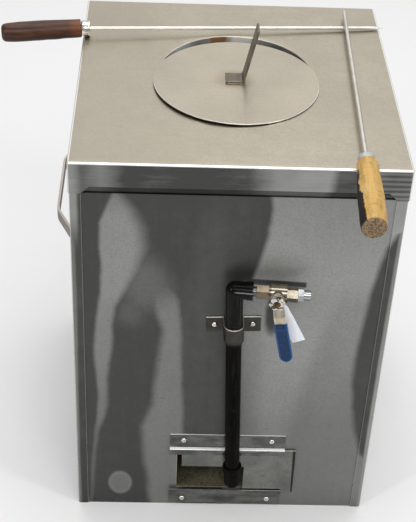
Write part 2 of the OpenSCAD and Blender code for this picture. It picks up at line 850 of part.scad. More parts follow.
module valve_end() {
  color(nickel) along_arm(valve_start) difference() {
    rotate([0, 0, end_turn]) hex_bar(valve_hex, valve_end_len);
    translate([0, 0, -past]) cylinder(d = gas_bore, h = valve_end_len + 2 * past);
    translate([0, 0, -past]) cylinder(d = nipple_d + 2 * thread_gap, h = valve_socket + past);
  }
}

module valve_body() {
  color(nickel) difference() {
    union() {
      along_arm(barrel_start) cylinder(d = barrel_d, h = valve_barrel_len);
      along_arm(barrel_end - past) rotate([0, 0, hex_turn]) hex_bar(valve_hex, valve_hex_len + past);
      on_stem() cylinder(d = boss_d, h = boss_h);
    }
    along_arm(stem_x - cavity_half - seat_t) cylinder(r = cavity_r, h = 2 * (cavity_half + seat_t));
    along_arm(barrel_start - past) cylinder(d = gas_bore, h = valve_stop);
    along_arm(valve_stop - valve_socket) cylinder(d = nipple_d + 2 * thread_gap, h = valve_socket + past);
    on_stem() cylinder(d = stem_d + 2 * run_gap, h = boss_h + past);
  }
}

module valve_seats() {
  color(seat_white) difference() {
    for (from = [-cavity_half - seat_t, cavity_half])
      along_arm(stem_x + from) tube(2 * cavity_r, gas_bore, seat_t);
    on_stem() sphere(d = ball_d + 2 * run_gap);
  }
}

module packing_nut() {
  color(bright_steel) on_stem() translate([0, 0, boss_h]) difference() {
    hex_bar(packing_hex, packing_h);
    translate([0, 0, -past]) cylinder(d = stem_d + 2 * run_gap, h = packing_h + 2 * past);
  }
}

module gas_nipple() {
  color(zinc) along_arm(valve_stop - valve_socket) difference() {
    union() {
      cylinder(d = nipple_d, h = valve_socket + gas_hex_len / 2);
      translate([0, 0, valve_socket]) hex_bar(gas_hex, gas_hex_len);
      translate([0, 0, valve_socket + gas_hex_len - past]) cylinder(d = spigot_d, h = spigot_len + past);
    }
    translate([0, 0, -past])
      cylinder(d = spigot_bore, h = valve_socket + gas_hex_len + spigot_len + 2 * past);
  }
}

// What turns with the lever: the ball's bore lies across the gas way when the lever is closed
module valve_ball() {
  color(bright_steel) on_lever() difference() {
    sphere(d = ball_d);
    translate([0, -ball_d, 0]) rotate([-90, 0, 0]) cylinder(d = gas_bore, h = 2 * ball_d);
    cylinder(d = stem_d + 2 * run_gap, h = ball_d);
  }
}

module valve_stem() {
  color(nickel) on_lever() translate([0, 0, stem_foot]) cylinder(d = stem_d, h = stem_top - stem_foot);
}

module valve_lever() {
  hub = hub_z + lever_t / 2;
  grip = grip_z + lever_t / 2;
  path = [[-lever_heel, hub], [step_from, hub], [step_to, grip], [strip_end, grip]];
  color(bright_steel) on_lever() difference() {
    rotate([0, 0, -90]) translate([0, lever_w / 2, 0]) rotate([90, 0, 0])
      bent_strip(path, lever_t, lever_w, lever_bend);
    translate([0, 0, hub_z - past]) cylinder(d = stem_d + 2 * thread_gap, h = lever_t + 2 * past);
  }
}

module lever_sleeve() {
  thick = lever_t + 2 * sleeve_wall;
  inner_w = lever_w + 2 * thread_gap;
  color(vinyl) on_lever() translate([0, 0, grip_z - sleeve_wall]) difference() {
    union() {
      block([-sleeve_w / 2, -strip_end, 0], [sleeve_w / 2, -sleeve_from, thick]);
      translate([0, -strip_end, 0]) cylinder(d = sleeve_w, h = thick);
    }
    translate([0, 0, sleeve_wall - thread_gap])
      block([-inner_w / 2, -strip_end - thread_gap, 0], [inner_w / 2, 0, lever_t + 2 * thread_gap]);
  }
}

module lever_nut() {
  color(bright_steel) on_lever() translate([0, 0, lever_top]) difference() {
    hex_bar(lever_nut_hex, lever_nut_h);
    translate([0, 0, -past]) cylinder(d = stem_d + 2 * thread_gap, h = lever_nut_h + 2 * past);
  }
}

// A blank tag of card, held by its eyelet on the stem behind the lever
module paper_tag() {
  outline = [
    [-tag_neck / 2, 0], [-tag_w / 2, -tag_shoulder], [-tag_w / 2, -tag_len],
    [tag_w / 2, -tag_len], [tag_w / 2, -tag_shoulder], [tag_neck / 2, 0]
  ];
  color(card) on_lever() rotate([0, 0, tag_angle]) translate([0, 0, nut_z + tag_play / 2])
    difference() {
      union() {
        linear_extrude(tag_t) polygon(outline);
        cylinder(d = tag_neck, h = tag_t);
      }
      translate([0, 0, -past]) cylinder(d = stem_d + 2 * thread_gap, h = tag_t + 2 * past);
    }
}

// Lid: a folded tray whose skirt is recessed into a locating lip between the corners
module lid_ring(half_x, half_y, wall, z0, z1) {
  difference() {
    block([-half_x, -half_y, z0], [half_x, half_y, z1]);
    block([wall - half_x, wall - half_y, z0 - past], [half_x - wall, half_y - wall, z1 + past]);
  }
}
module corner_prisms() {
  for (x = [-1, 1], y = [-1, 1]) scale([x, y, 1])
    translate([lid_w / 2, lid_d / 2, casing_h]) rotate([0, 0, 180])
      union() {
        corner_wedge();
        mirror([1, -1, 0]) corner_wedge();
      }
}
module corner_wedge() {
  outline = [
    [0, 0], [corner_len - band_h + past, 0], [corner_len + 2 * past, band_h + past], [0, band_h + past]
  ];
  translate([-past, foot_deep, 0]) rotate([90, 0, 0]) linear_extrude(foot_deep + past) polygon(outline);
}
module lid_shell() {
  color(lid_steel) difference() {
    union() {
      block([-lid_w / 2, -lid_d / 2, lid_under], [lid_w / 2, lid_d / 2, lid_top]);
      lid_ring(lid_w / 2, lid_d / 2, sheet_t, band_top, lid_top);
      difference() {
        lid_ring(lid_w / 2, lid_d / 2, lid_d / 2 - lip_y + sheet_t, band_top, band_top + sheet_t);
        block([-lip_x + sheet_t, -lip_y + sheet_t, 0], [lip_x - sheet_t, lip_y - sheet_t, lid_top]);
      }
      lid_ring(lip_x, lip_y, sheet_t, lid_lining_foot, band_top + sheet_t);
      intersection() {
        lid_ring(lid_w / 2, lid_d / 2, sheet_t, foot_z, band_top + past / 2);
        corner_prisms();
      }
      intersection() {
        lid_foot();
        corner_prisms();
      }
    }
    translate([0, flue_y, 0]) cylinder(r = flue_r, h = lid_top + past, $fn = 128);
  }
}
module lid_foot() {
  half_x = lip_x - sheet_t / 2;
  half_y = lip_y - sheet_t / 2;
  difference() {
    block([-lid_w / 2, -lid_d / 2, foot_z], [lid_w / 2, lid_d / 2, foot_z + sheet_t]);
    block([-half_x, -half_y, foot_z - past], [half_x, half_y, foot_z + sheet_t + past]);
  }
}

module lid_lining() {
  half_x = lip_x - sheet_t - lining_gap;
  half_y = lip_y - sheet_t - lining_gap;
  color(fibre) difference() {
    block([-half_x, -half_y, lid_lining_foot], [half_x, half_y, lid_under]);
    translate([0, flue_y, 0]) cylinder(r = flue_r + hole_gap, h = lid_top, $fn = 128);
    at_lid_anchors() anchor_hole(lid_under - lid_lining_foot);
  }
}

module lid_anchors() {
  color(cordierite) at_lid_anchors() anchor(lid_under - lid_lining_foot);
}

module flue_collar() {
  color(bright_steel) translate([0, flue_y, lid_lining_foot])
    tube(2 * flue_r, 2 * (flue_r - collar_t), lid_top - lid_lining_foot, $fn = 128);
}

// Flue cover
module cover_disc() {
  color(lid_steel) translate([0, cover_y, lid_top + rest_gap]) cylinder(r = cover_r, h = cover_t, $fn = 128);
}

module cover_handle() {
  lie = cover_handle_t / 2;
  rise = cover_handle_h * cos(cover_handle_lean);
  path = [
    [-cover_handle_foot, lie], [0, lie], [cover_handle_h * sin(cover_handle_lean), lie + rise]
  ];
  color(steel) translate([cover_handle_x, cover_y + cover_handle_back + cover_handle_w / 2, cover_top])
    rotate([90, 0, 0]) bent_strip(path, cover_handle_t, cover_handle_w, cover_handle_bend);
}

// Pokers: a steel rod set in a turned wooden handle behind a steel ferrule, the rod along +X
module poker_rod(rod_len) {
  tang = ferrule_len + tang_len;
  translate([-tang, 0, 0]) rotate([0, 90, 0]) cylinder(d = rod_d, h = tang + rod_len - rod_tip);
  translate([rod_len - rod_tip, 0, 0]) rotate([0, 90, 0]) cylinder(d1 = rod_d, d2 = rod_d / 4, h = rod_tip);
}
module poker_ferrule() {
  translate([-ferrule_len, 0, 0]) rotate([0, 90, 0]) tube(ferrule_d, rod_d + 2 * thread_gap, ferrule_len);
}
function grip_radius(t, neck, end) =
  neck + (end - neck) * sin(90 * min(1, t * swell_rate)) - end * end_round * pow(t, end_power);
module poker_grip(grip_len, end_d, droop) {
  steps = 12;
  neck = ferrule_r + neck_step;
  profile = [for (i = [0:steps]) [grip_radius(i / steps, neck, end_d / 2), i / steps * grip_len]];
  translate([-ferrule_len, 0, 0]) difference() {
    rotate([0, -90 - droop, 0]) rotate_extrude()
      polygon(concat([[0, 0]], profile, [[0, grip_len]]));
    translate([-tang_len - past, 0, 0]) rotate([0, 90, 0])
      cylinder(d = rod_d + 2 * thread_gap, h = tang_len + 2 * past);
    translate([0, -end_d, -end_d]) cube([end_d, 2 * end_d, 2 * end_d]);
  }
}

module side_poker_rod() {
  color(zinc) on_side_poker() poker_rod(side_rod_len);
}

module side_poker_ferrule() {
  color(bright_steel) on_side_poker() poker_ferrule();
}

module side_poker_grip() {
  color(dark_wood) on_side_poker() poker_grip(side_grip_len, side_grip_d, side_grip_droop);
}

module front_poker_rod() {
  color(zinc) on_front_poker() poker_rod(front_rod_len);
}

module front_poker_ferrule() {
  color(zinc) on_front_poker() poker_ferrule();
}

module front_poker_grip() {
  color(light_wood) on_front_poker() poker_grip(front_grip_len, front_grip_d, front_grip_droop);
}

casing_wrapper();
front_panel();
base_pan();
floor_slab();
lining_front();
lining_back();
lining_left();
lining_right();
wall_anchors();
kiln_shelf();
shelf_posts();
handle_left();
handle_right();
handle_rivets();
top_rail();
bottom_rail();
rail_screws();
air_gate();
pipe_clamp();
clamp_screws();
riser_pipe();
upper_elbow();
lower_elbow();
burner_tube();
burner_nozzle();
gas_jet();
close_nipple();
valve_end();
valve_body();
valve_seats();
packing_nut();
gas_nipple();
valve_ball();
valve_stem();
valve_lever();
lever_sleeve();
lever_nut();
paper_tag();
lid_shell();
lid_lining();
lid_anchors();
flue_collar();
cover_disc();
cover_handle();
side_poker_rod();
side_poker_ferrule();
side_poker_grip();
front_poker_rod();
front_poker_ferrule();
front_poker_grip();
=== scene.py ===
import json
import math

import bmesh
import bpy
import numpy as np
from bpy.props import FloatProperty, FloatVectorProperty, PointerProperty
from mathutils import Matrix, Vector, noise

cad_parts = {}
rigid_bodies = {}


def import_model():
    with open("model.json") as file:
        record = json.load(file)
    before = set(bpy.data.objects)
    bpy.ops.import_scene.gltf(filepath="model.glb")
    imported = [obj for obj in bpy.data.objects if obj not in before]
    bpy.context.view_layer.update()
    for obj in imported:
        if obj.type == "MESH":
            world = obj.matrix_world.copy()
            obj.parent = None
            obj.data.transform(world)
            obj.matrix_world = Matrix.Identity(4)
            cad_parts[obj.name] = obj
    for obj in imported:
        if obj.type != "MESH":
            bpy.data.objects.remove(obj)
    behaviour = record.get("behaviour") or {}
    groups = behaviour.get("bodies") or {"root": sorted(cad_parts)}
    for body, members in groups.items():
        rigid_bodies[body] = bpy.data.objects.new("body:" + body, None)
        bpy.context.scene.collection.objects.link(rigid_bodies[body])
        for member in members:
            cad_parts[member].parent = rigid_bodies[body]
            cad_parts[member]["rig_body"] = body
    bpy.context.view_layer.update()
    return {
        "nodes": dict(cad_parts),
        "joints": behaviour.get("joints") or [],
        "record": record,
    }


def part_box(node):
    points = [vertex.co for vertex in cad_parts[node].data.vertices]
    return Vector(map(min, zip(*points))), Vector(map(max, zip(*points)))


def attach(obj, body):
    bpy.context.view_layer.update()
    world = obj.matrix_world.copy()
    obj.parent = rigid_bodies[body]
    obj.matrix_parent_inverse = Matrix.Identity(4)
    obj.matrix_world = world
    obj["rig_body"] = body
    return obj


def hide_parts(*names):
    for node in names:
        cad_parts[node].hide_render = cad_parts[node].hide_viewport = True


bl_info = {
    "name": "Pottery kiln",
    "version": (1, 0, 0),
    "blender": (4, 5, 0),
    "location": "3D View > Sidebar > Kiln",
    "description": "Dresses a small gas-fired pottery kiln over its packed solids",
    "category": "Object",
}

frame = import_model()

MM = 0.001
NODES = frame["nodes"]
BODY_OF = {name: solid["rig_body"] for name, solid in NODES.items()}
SLOT_OF = {part["node"]: part["material_slot"] for part in frame["record"]["subparts"]}
JOINTS = {joint["name"]: joint for joint in frame["joints"]}
LID_LOW, LID_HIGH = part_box("lid_shell")
CASING_LOW, CASING_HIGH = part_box("casing_wrapper")
PANEL_LOW, PANEL_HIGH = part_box("front_panel")
COLLAR_LOW, COLLAR_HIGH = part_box("flue_collar")
DISC_LOW, DISC_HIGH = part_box("cover_disc")
CLAMP_HEIGHT = 26 * MM
# Longest run and furthest reach of a curve's stops, in millimetres
CURVE_RUN = 700
CURVE_RISE = 300
HEAD_HEIGHT = 3.0 * MM
CAMERA_PLACE = (-0.09347, -1.54972, 1.48265)
CAMERA_YAW, CAMERA_PITCH, CAMERA_ROLL = (math.radians(a) for a in (-2.4937, -37.4136, -2.7817))
SENSOR_WIDTH = 36.0


def tone(red, green, blue):
    """A colour given as it looks on a screen, from 0 to 255, as the linear colour that a shader takes."""
    shares = [value / 255 for value in (red, green, blue)]
    return tuple(s / 12.92 if s <= 0.04045 else ((s + 0.055) / 1.055) ** 2.4 for s in shares)


def length(label, text, default):
    """A size in metres for a panel."""
    return FloatProperty(name=label, description=text, default=default, min=0.0, unit="LENGTH", precision=5)


def power(label, text, default):
    """A light's power for a panel."""
    return FloatProperty(name=label, description=text, default=default, unit="POWER")


def colour(label, text, default):
    """A colour for a panel."""
    return FloatVectorProperty(
        name=label, description=text, default=default, size=3, min=0.0, max=1.0, subtype="COLOR"
    )


class KilnSizes(bpy.types.PropertyGroup):
    """Sizes of the details that the sheet, the handles and the fasteners get."""

    sheet: length("Sheet", "Thickness of the stainless sheet", PANEL_HIGH.y - PANEL_LOW.y)
    fold: length("Fold", "Outer radius of the folds of the lid", 2.2 * MM)
    bend: length("Bend", "Outer radius of the bends of the casing", 2.6 * MM)
    flange: length("Flange", "Width of the casing's flanges on the front panel", 15 * MM)
    band: length("Band", "Height of the recess at the foot of the lid's skirt", 11 * MM)
    tab: length("Tab", "Length of the full-depth skirt at each corner of the lid", 27 * MM)
    lip_gap: length("Lip gap", "Gap between the lid's locating lip and the casing", 0.8 * MM)
    wave: length("Wave", "Depth of the waves in the thin sheet", 0.9 * MM)
    cover_lift: length("Cover lift", "How far the warped cover's edge stands up", 2.6 * MM)
    port_left: FloatProperty(
        name="Port left", description="Left edge of the burner port", default=-67 * MM, unit="LENGTH"
    )
    port_right: length("Port right", "Right edge of the burner port", 73 * MM)
    port_foot: length("Port foot", "Lower edge of the burner port", 37 * MM)
    port_top: length("Port top", "Upper edge of the burner port", 107 * MM)
    head_slot: length("Head slot", "Width of the screw heads' cross slots", 0.9 * MM)
    collar: length("Collar", "How far the ring at the lower elbow's mouth stands out", 1.3 * MM)
    sleeve_dish: length("Sleeve dish", "Depth of the long dish in the lever's sleeve", 1.2 * MM)


class KilnColours(bpy.types.PropertyGroup):
    """Colours of the finishes."""

    # Dark and light steel are the painted shaded and lit tones of one sheet: the dark and light reflections
    # painted on the casing, the front panel and the lid's skirt
    steel_dark: colour("Dark steel", "Casing sheet where it is dull", tone(74, 74, 73))
    steel_light: colour("Light steel", "Casing sheet where it is bright", tone(154, 155, 152))
    # The lid steel is the same sheet, painted in a lighter, lit tone for the lid's top
    lid: colour("Lid steel", "Brushed sheet of the lid", tone(193, 184, 167))
    strip: colour("Strip steel", "Dull strip of the handles", tone(146, 139, 126))
    clamp: colour("Clamp steel", "Dark strip of the clamp", tone(66, 64, 60))
    # Bright steel is also the colour of painted highlights on edges of the casing, the clamp, the gate and
    # the flue collar
    bright: colour("Bright steel", "Polished screws, rails and collar", tone(226, 224, 216))
    gate: colour("Gate steel", "Sliding gate plate", tone(126, 127, 122))
    iron: colour("Black iron", "Black pipe and fittings", tone(13, 12, 11))
    nickel: colour("Nickel", "Plated brass of the valve", tone(178, 168, 150))
    zinc: colour("Zinc", "Plated nipples and rods", tone(186, 189, 190))
    vinyl: colour("Vinyl", "Blue sleeve of the lever", tone(8, 48, 90))
    card: colour("Card", "Paper tag", tone(236, 238, 242))
    dark_wood: colour("Dark wood", "Handle of the side poker", tone(86, 48, 26))
    light_wood: colour("Light wood", "Handle of the front poker", tone(190, 152, 84))
    fibre: colour("Fibre", "Insulating boards", tone(106, 100, 80))
    cordierite: colour("Cordierite", "Kiln shelf, posts and washers", tone(196, 176, 144))


class KilnStage(bpy.types.PropertyGroup):
    """The floor, the light and the camera."""

    floor: colour("Floor", "Plain pale floor", (0.86, 0.86, 0.86))
    sky: FloatProperty(name="Sky", description="Strength of the even light", default=0.4, min=0.0)
    top: power("Top", "Power of the soft light overhead", 52.0)
    back: power("Back", "Power of the wide light behind", 30.0)
    front: power("Front", "Power of the wide light in front", 42.0)
    side: power("Side", "Power of each narrow side light", 10.0)
    lens: FloatProperty(name="Lens", description="Focal length of the camera", default=88.88, unit="CAMERA")


class Value:
    """A socket in a node tree; sums on it add Math nodes."""

    def __init__(self, tree, socket):
        self.tree = tree
        self.socket = socket

    def other(self, out):
        """Another output of the same node."""
        return Value(self.tree, self.socket.node.outputs[out])

    def math(self, operation, first, second):
        return self.tree.add("ShaderNodeMath", {"operation": operation}, {0: first, 1: second})

    def size(self):
        """The value without its sign."""
        return self.math("ABSOLUTE", self, 0.0)

    def least(self, other):
        return self.math("MINIMUM", self, other)

    def most(self, other):
        return self.math("MAXIMUM", self, other)

    def wave(self):
        """The sine of the value."""
        return self.math("SINE", self, 0.0)


def give_sums():
    """Lets values be added, taken away, multiplied, divided and raised with the usual signs."""
    signs = {"add": "ADD", "sub": "SUBTRACT", "mul": "MULTIPLY", "truediv": "DIVIDE", "pow": "POWER"}
    for sign, operation in signs.items():
        setattr(Value, f"__{sign}__", lambda self, other, kind=operation: self.math(kind, self, other))
        setattr(Value, f"__r{sign}__", lambda self, other, kind=operation: self.math(kind, other, self))


give_sums()


class Nodes:
    """A node tree whose nodes are added with their settings and sockets in one go."""

    def __init__(self, tree):
        self.tree = tree

    def add(self, kind, settings, sockets, out=0):
        node = self.tree.nodes.new(kind)
        for key, value in settings.items():
            if key == "stops":
                self.set_stops(node.color_ramp, value)
            else:
                setattr(node, key, value)
        for key, value in sockets.items():
            self.feed(node.inputs[key], value)
        return Value(self, node.outputs[out])

    def feed(self, socket, value):
        if isinstance(value, Value):
            self.tree.links.new(value.socket, socket)
        else:
            socket.default_value = value

    def set_stops(self, ramp, stops):
        while len(ramp.elements) < len(stops):
            ramp.elements.new(1.0)
        for element, (place, shade) in zip(ramp.elements, stops):
            element.position = place
            element.color = (*shade, 1.0)


class Finish(Nodes):
    """A material whose look is worked out from where a point lies on its piece."""

    def __init__(self, name, **constants):
        self.material = bpy.data.materials.new(name)
        self.material.use_nodes = True
        super().__init__(self.material.node_tree)
        self.shader = self.tree.nodes["Principled BSDF"]
        for key, value in constants.items():
            self.feed(self.shader.inputs[key.replace("_", " ").title().replace("Ior", "IOR")], value)
        self.place = self.add("ShaderNodeTexCoord", {}, {}, "Object")
        self.x = self.add("ShaderNodeSeparateXYZ", {}, {0: self.place}, "X")
        self.y = self.x.other("Y")
        self.z = self.x.other("Z")
        facing = self.place.other("Normal")
        self.lift = self.add("ShaderNodeSeparateXYZ", {}, {0: facing}, "Z")

    def reach(self, start, direction):
        """Distance from a start along a direction."""
        far = self.x * direction.x + self.y * direction.y + self.z * direction.z
        return far - start.dot(direction)

    def mapped(self, stretch, turn=(0.0, 0.0, 0.0), place=(0.0, 0.0, 0.0)):
        sockets = {"Vector": self.place, "Location": place, "Rotation": turn, "Scale": stretch}
        return self.add("ShaderNodeMapping", {}, sockets)

    def noise(self, scale, detail=2.0, rough=0.5, stretch=None, turn=(0.0, 0.0, 0.0), bend=0.0):
        place = self.place if stretch is None else self.mapped(stretch, turn)
        sockets = {"Vector": place, "Scale": scale, "Detail": detail, "Roughness": rough, "Distortion": bend}
        return self.add("ShaderNodeTexNoise", {}, sockets, 0)

    def cells(self, scale, stretch=None):
        place = self.place if stretch is None else self.mapped(stretch)
        return self.add("ShaderNodeTexVoronoi", {}, {"Vector": place, "Scale": scale}, 0)

    def rise(self, value, low, high):
        """0 below low, 1 above high, and a smooth rise between them."""
        sockets = {"Value": value, "From Min": low, "From Max": high}
        return self.add("ShaderNodeMapRange", {"interpolation_type": "SMOOTHSTEP"}, sockets)

    def stripe(self, value, middle, half, soft):
        """1 within half of the middle, with soft sides."""
        return 1 - self.rise((value - middle).size() - half, -soft, soft)

    def curve(self, value, stops):
        """A value in millimetres that follows straight lines between stops, read at another one in metres."""
        shares = [(at / CURVE_RUN, ((far + CURVE_RISE) / (2 * CURVE_RISE),) * 3) for at, far in stops]
        ramp = self.add("ShaderNodeValToRGB", {"stops": shares}, {0: value / (CURVE_RUN * MM)})
        return (ramp * (2 * CURVE_RISE) - CURVE_RISE) * MM

    def between(self, share, first, second):
        """The value at a share of the way from first to second."""
        return first + (second - first) * share

    def blend(self, share, first, second):
        """The colour at a share of the way from first to second."""
        first = first if isinstance(first, Value) else (*first, 1.0)
        second = second if isinstance(second, Value) else (*second, 1.0)
        return self.add("ShaderNodeMix", {"data_type": "RGBA"}, {0: share, 6: first, 7: second}, 2)

    def clouded(self, cloud, shade, dark, light, low=0.3, high=0.7):
        """A colour that goes from a dark to a light share of itself as a cloud thickens."""
        return self.blend(self.rise(cloud, low, high), scaled(shade, dark), scaled(shade, light))

    def rough(self, share, low, high):
        """Roughness from low to high as a share rises."""
        self.paint(rough=self.between(share, low, high))

    def bump(self, height, depth, strength=1.0):
        sockets = {"Strength": strength, "Distance": depth, "Height": height}
        self.paint(normal=self.add("ShaderNodeBump", {}, sockets))

    def paint(self, **looks):
        names = {"base": "Base Color", "rough": "Roughness", "metal": "Metallic", "normal": "Normal"}
        for key, value in looks.items():
            self.feed(self.shader.inputs[names[key]], value)


FINISHES = {}


def finish_of(maker):
    """The material that a maker function gives, made once."""
    if maker.__name__ not in FINISHES:
        FINISHES[maker.__name__] = maker(bpy.context.scene.kiln_colours).material
    return FINISHES[maker.__name__]


def scaled(shade, factor):
    """A colour made darker or lighter."""
    return tuple(min(1.0, channel * factor) for channel in shade)


def casing_sheet(colours):
    """Satin stainless of the wrapped walls, with painted reflections in soft upright bands and on the front
    flanges, stains, and painted highlights on the corners and the flanges.
    """
    steel = Finish("casing_sheet", metallic=1.0)
    along = steel.x + steel.y + 0.2195
    lean = along + (steel.z - 0.3) * 0.06
    drift = steel.noise(5.0, 2.0, stretch=(1.0, 1.0, 0.35))
    # Painted reflections: light and dark upright bands painted into the colour of the side and back walls
    bands = ((lean * 46.0 + drift * 5.0).wave() + (lean * 19.0 + 1.3).wave()) * 0.25 + 0.5
    mottle = steel.noise(38.0, 4.0, 0.6)
    level = steel.rise(bands + (mottle - 0.5) * 0.25, 0.1, 0.95) * 0.7 + 0.1
    # Painted highlight along the casing's upright corners
    edge = steel.stripe(steel.x.size(), CASING_HIGH.x, 1.2 * MM, 0.6 * MM)
    edge = edge * steel.stripe(steel.y.size(), CASING_HIGH.y, 1.2 * MM, 0.6 * MM)
    sheet = steel.blend(level, colours.steel_dark, colours.steel_light)
    flange = 1 - steel.rise(steel.y, CASING_LOW.y + 1.0 * MM, CASING_LOW.y + 1.6 * MM)
    flange = flange * (1 - steel.rise(steel.x.size(), CASING_HIGH.x - 2 * MM, CASING_HIGH.x - 1 * MM))
    # Painted highlight on the flange towards its bend, lighter on the right and lower down
    outer = steel.rise(steel.x.size() + (drift - 0.5) * 0.01, CASING_HIGH.x - 7 * MM, CASING_HIGH.x - 3 * MM)
    outer = outer * steel.between(steel.rise(steel.x, -0.1, 0.1), 0.36, 0.6)
    # The flange shares the front panel's painted reflection fields
    fields = front_fields(steel)[0]
    outer = outer * steel.between(steel.rise(steel.z, 0.2, 0.45), 1.4, 1.0)
    # Painted glint on the upper part of the left flange
    painted_flange_glint = steel.stripe(steel.x, CASING_LOW.x + 5 * MM, 5 * MM, 3 * MM) * steel.rise(steel.z, 0.47, 0.54)
    outer = outer.most(painted_flange_glint * 0.75)
    front = steel.blend(fields.most(outer) + (mottle - 0.5) * 0.25, colours.steel_dark, colours.steel_light)
    # Painted highlight line along the flange's inner edge, made less metallic
    painted_edge_line = bpy.context.scene.kiln_sizes.flange
    painted_edge_line = 1 - steel.rise(steel.x.size(), CASING_HIGH.x - painted_edge_line + 0.5 * MM, CASING_HIGH.x - painted_edge_line + 1.1 * MM)
    painted_edge_line = painted_edge_line * (1 - steel.rise(steel.y, -0.2, -0.19))
    sheet = steel.blend(flange, sheet, steel.blend(painted_edge_line * 0.3, front, colours.steel_light))
    steel.paint(metal=1 - painted_edge_line * 0.8)
    steel.paint(base=steel.blend(edge * 0.7, sheet, colours.bright))
    grain = steel.noise(900.0, 2.0, 0.5, stretch=(1.0, 1.0, 0.02))
    steel.rough(mottle, 0.2, 0.36)
    steel.bump(grain + mottle * 2.0, 0.05 * MM, 0.35)
    return steel


# Painted reflection fields on the front and the skirt, as (place, edge or lightness): places and edges in
# millimetres
FIRST_LEFT = [
    (0, -195), (62, -193), (125, -188), (173, -184), (219, -180), (263, -183), (300, -186), (354, -182),
    (412, -175), (523, -175), (542, -168), (567, -160),
]
FIRST_RIGHT = [
    (0, -193), (26, -192), (111, -186), (153, -181), (180, -172), (200, -168), (257, -168), (282, -166),
    (307, -161), (355, -160), (384, -157), (413, -142), (447, -128), (480, -121), (517, -125), (542, -134),
    (567, -152),
]
FIRST_LEVEL = [(0, 40), (150, 46), (230, 58), (300, 68), (380, 74), (410, 86), (530, 84), (567, 56)]
SECOND_LEFT = [
    (0, -106), (99, -117), (161, -119), (208, -104), (259, -102), (296, -98), (345, -92), (368, -100),
    (397, -106), (425, -108),
]
SECOND_RIGHT = [(0, -62), (189, -61), (234, -63), (297, -66), (357, -68), (398, -73), (425, -88)]
THIRD_LEFT = [(0, 4), (400, 6), (439, 26), (451, 29), (479, 36), (511, 42), (548, 43), (567, 41)]
THIRD_RIGHT = [
    (88, 235), (100, 212), (114, 199), (162, 188), (208, 180), (247, 174), (297, 175), (352, 178), (410, 182),
    (456, 188), (489, 195), (516, 207), (526, 235),
]
THIRD_LEVEL = [
    (0, 66), (20, 74), (50, 80), (90, 76), (170, 72), (250, 90), (340, 108), (440, 108), (500, 92), (567, 78),
]

SKIRT_LEVEL = [
    (0, 85), (10, 76), (20, 20), (42, 56), (60, 24), (73, -4), (112, 4), (160, -4), (205, 2), (225, 8),
    (242, 36), (262, 70), (292, 84), (326, 84), (338, 10), (366, 8), (384, 14), (392, 10), (404, 6),
    (428, 10), (436, 40), (445, 50),
]


def front_fields(steel):
    """Painted reflections and shade on the front: how light the front is at each place, as three broad
    painted reflection fields with soft sides, painted hazes of light, a painted oval of reflection and a
    painted shadow behind the valve and the lever.
    """
    drift = (steel.noise(14.0, 4.0, 0.6) - 0.5) * 0.011
    across = steel.x + drift
    up = steel.z + drift

    def field(left, right, left_soft, right_soft):
        inside = steel.rise((across - steel.curve(up, left)) / left_soft, -1.0, 1.0)
        return inside * (1 - steel.rise((across - steel.curve(up, right)) / right_soft, -1.0, 1.0))

    def spot(x, z, wide, high, core=0.2):
        reach = (((across - x) / wide) ** 2.0 + ((up - z) / high) ** 2.0) ** 0.5
        return 1 - steel.rise(reach, core, 1.0)

    soft = steel.between(steel.rise(up, 0.36, 0.46), 5 * MM, 14 * MM)
    first = field(FIRST_LEFT, FIRST_RIGHT, 4 * MM, soft) * steel.curve(up, FIRST_LEVEL) * 10.0
    second = field(SECOND_LEFT, SECOND_RIGHT, 8 * MM, 6 * MM) * (0.58 - 0.36 * steel.rise(up, 0.37, 0.43))
    second = second * (1 - steel.rise(up, 0.42, 0.45))
    third = field(THIRD_LEFT, THIRD_RIGHT, 5 * MM, 6 * MM) * steel.curve(up, THIRD_LEVEL) * 10.0
    slope = across - 0.095 - (up - 0.19) * 0.19
    falls = 0.26 * steel.rise(slope, -0.016, 0.016) + 0.24 * (1 - steel.rise(across, 0.03, 0.06))
    third = third * (1 - falls * (1 - steel.rise(up, 0.38, 0.46)))
    third = third + spot(0.062, 0.478, 0.034, 0.034) * 0.16
    # Painted hazes of light
    haze = spot(-0.115, 0.42, 0.05, 0.07) * 0.3
    haze = haze.most(spot(-0.03, 0.3, 0.05, 0.32, 0.5) * 0.07).most(spot(-0.135, 0.375, 0.03, 0.04) * 0.18)
    level = first.most(second).most(third).most(haze)
    # Painted oval of reflected light low on the left
    oval = ((steel.x + 0.151) / 0.016) ** 2.0 + ((steel.z - 0.044) / 0.022) ** 2.0
    oval = oval ** 0.5 + drift * 14.0
    oval = (1 - steel.rise(oval, 0.85, 1.25)) * 0.5 + steel.stripe(oval, 1.0, 0.1, 0.18) * 0.25
    # Painted shadow behind the valve body, and behind the lever lower down
    behind = steel.stripe(steel.z + (steel.x - 0.064) * 0.06, 0.429, 4.2 * MM, 1.6 * MM)
    behind = behind * steel.stripe(steel.x, 0.058, 38 * MM, 2 * MM)
    behind = behind.most(spot(0.056, 0.375, 0.014, 0.045, 0.4) * 0.85)
    return level.most(oval) * (1 - behind), behind


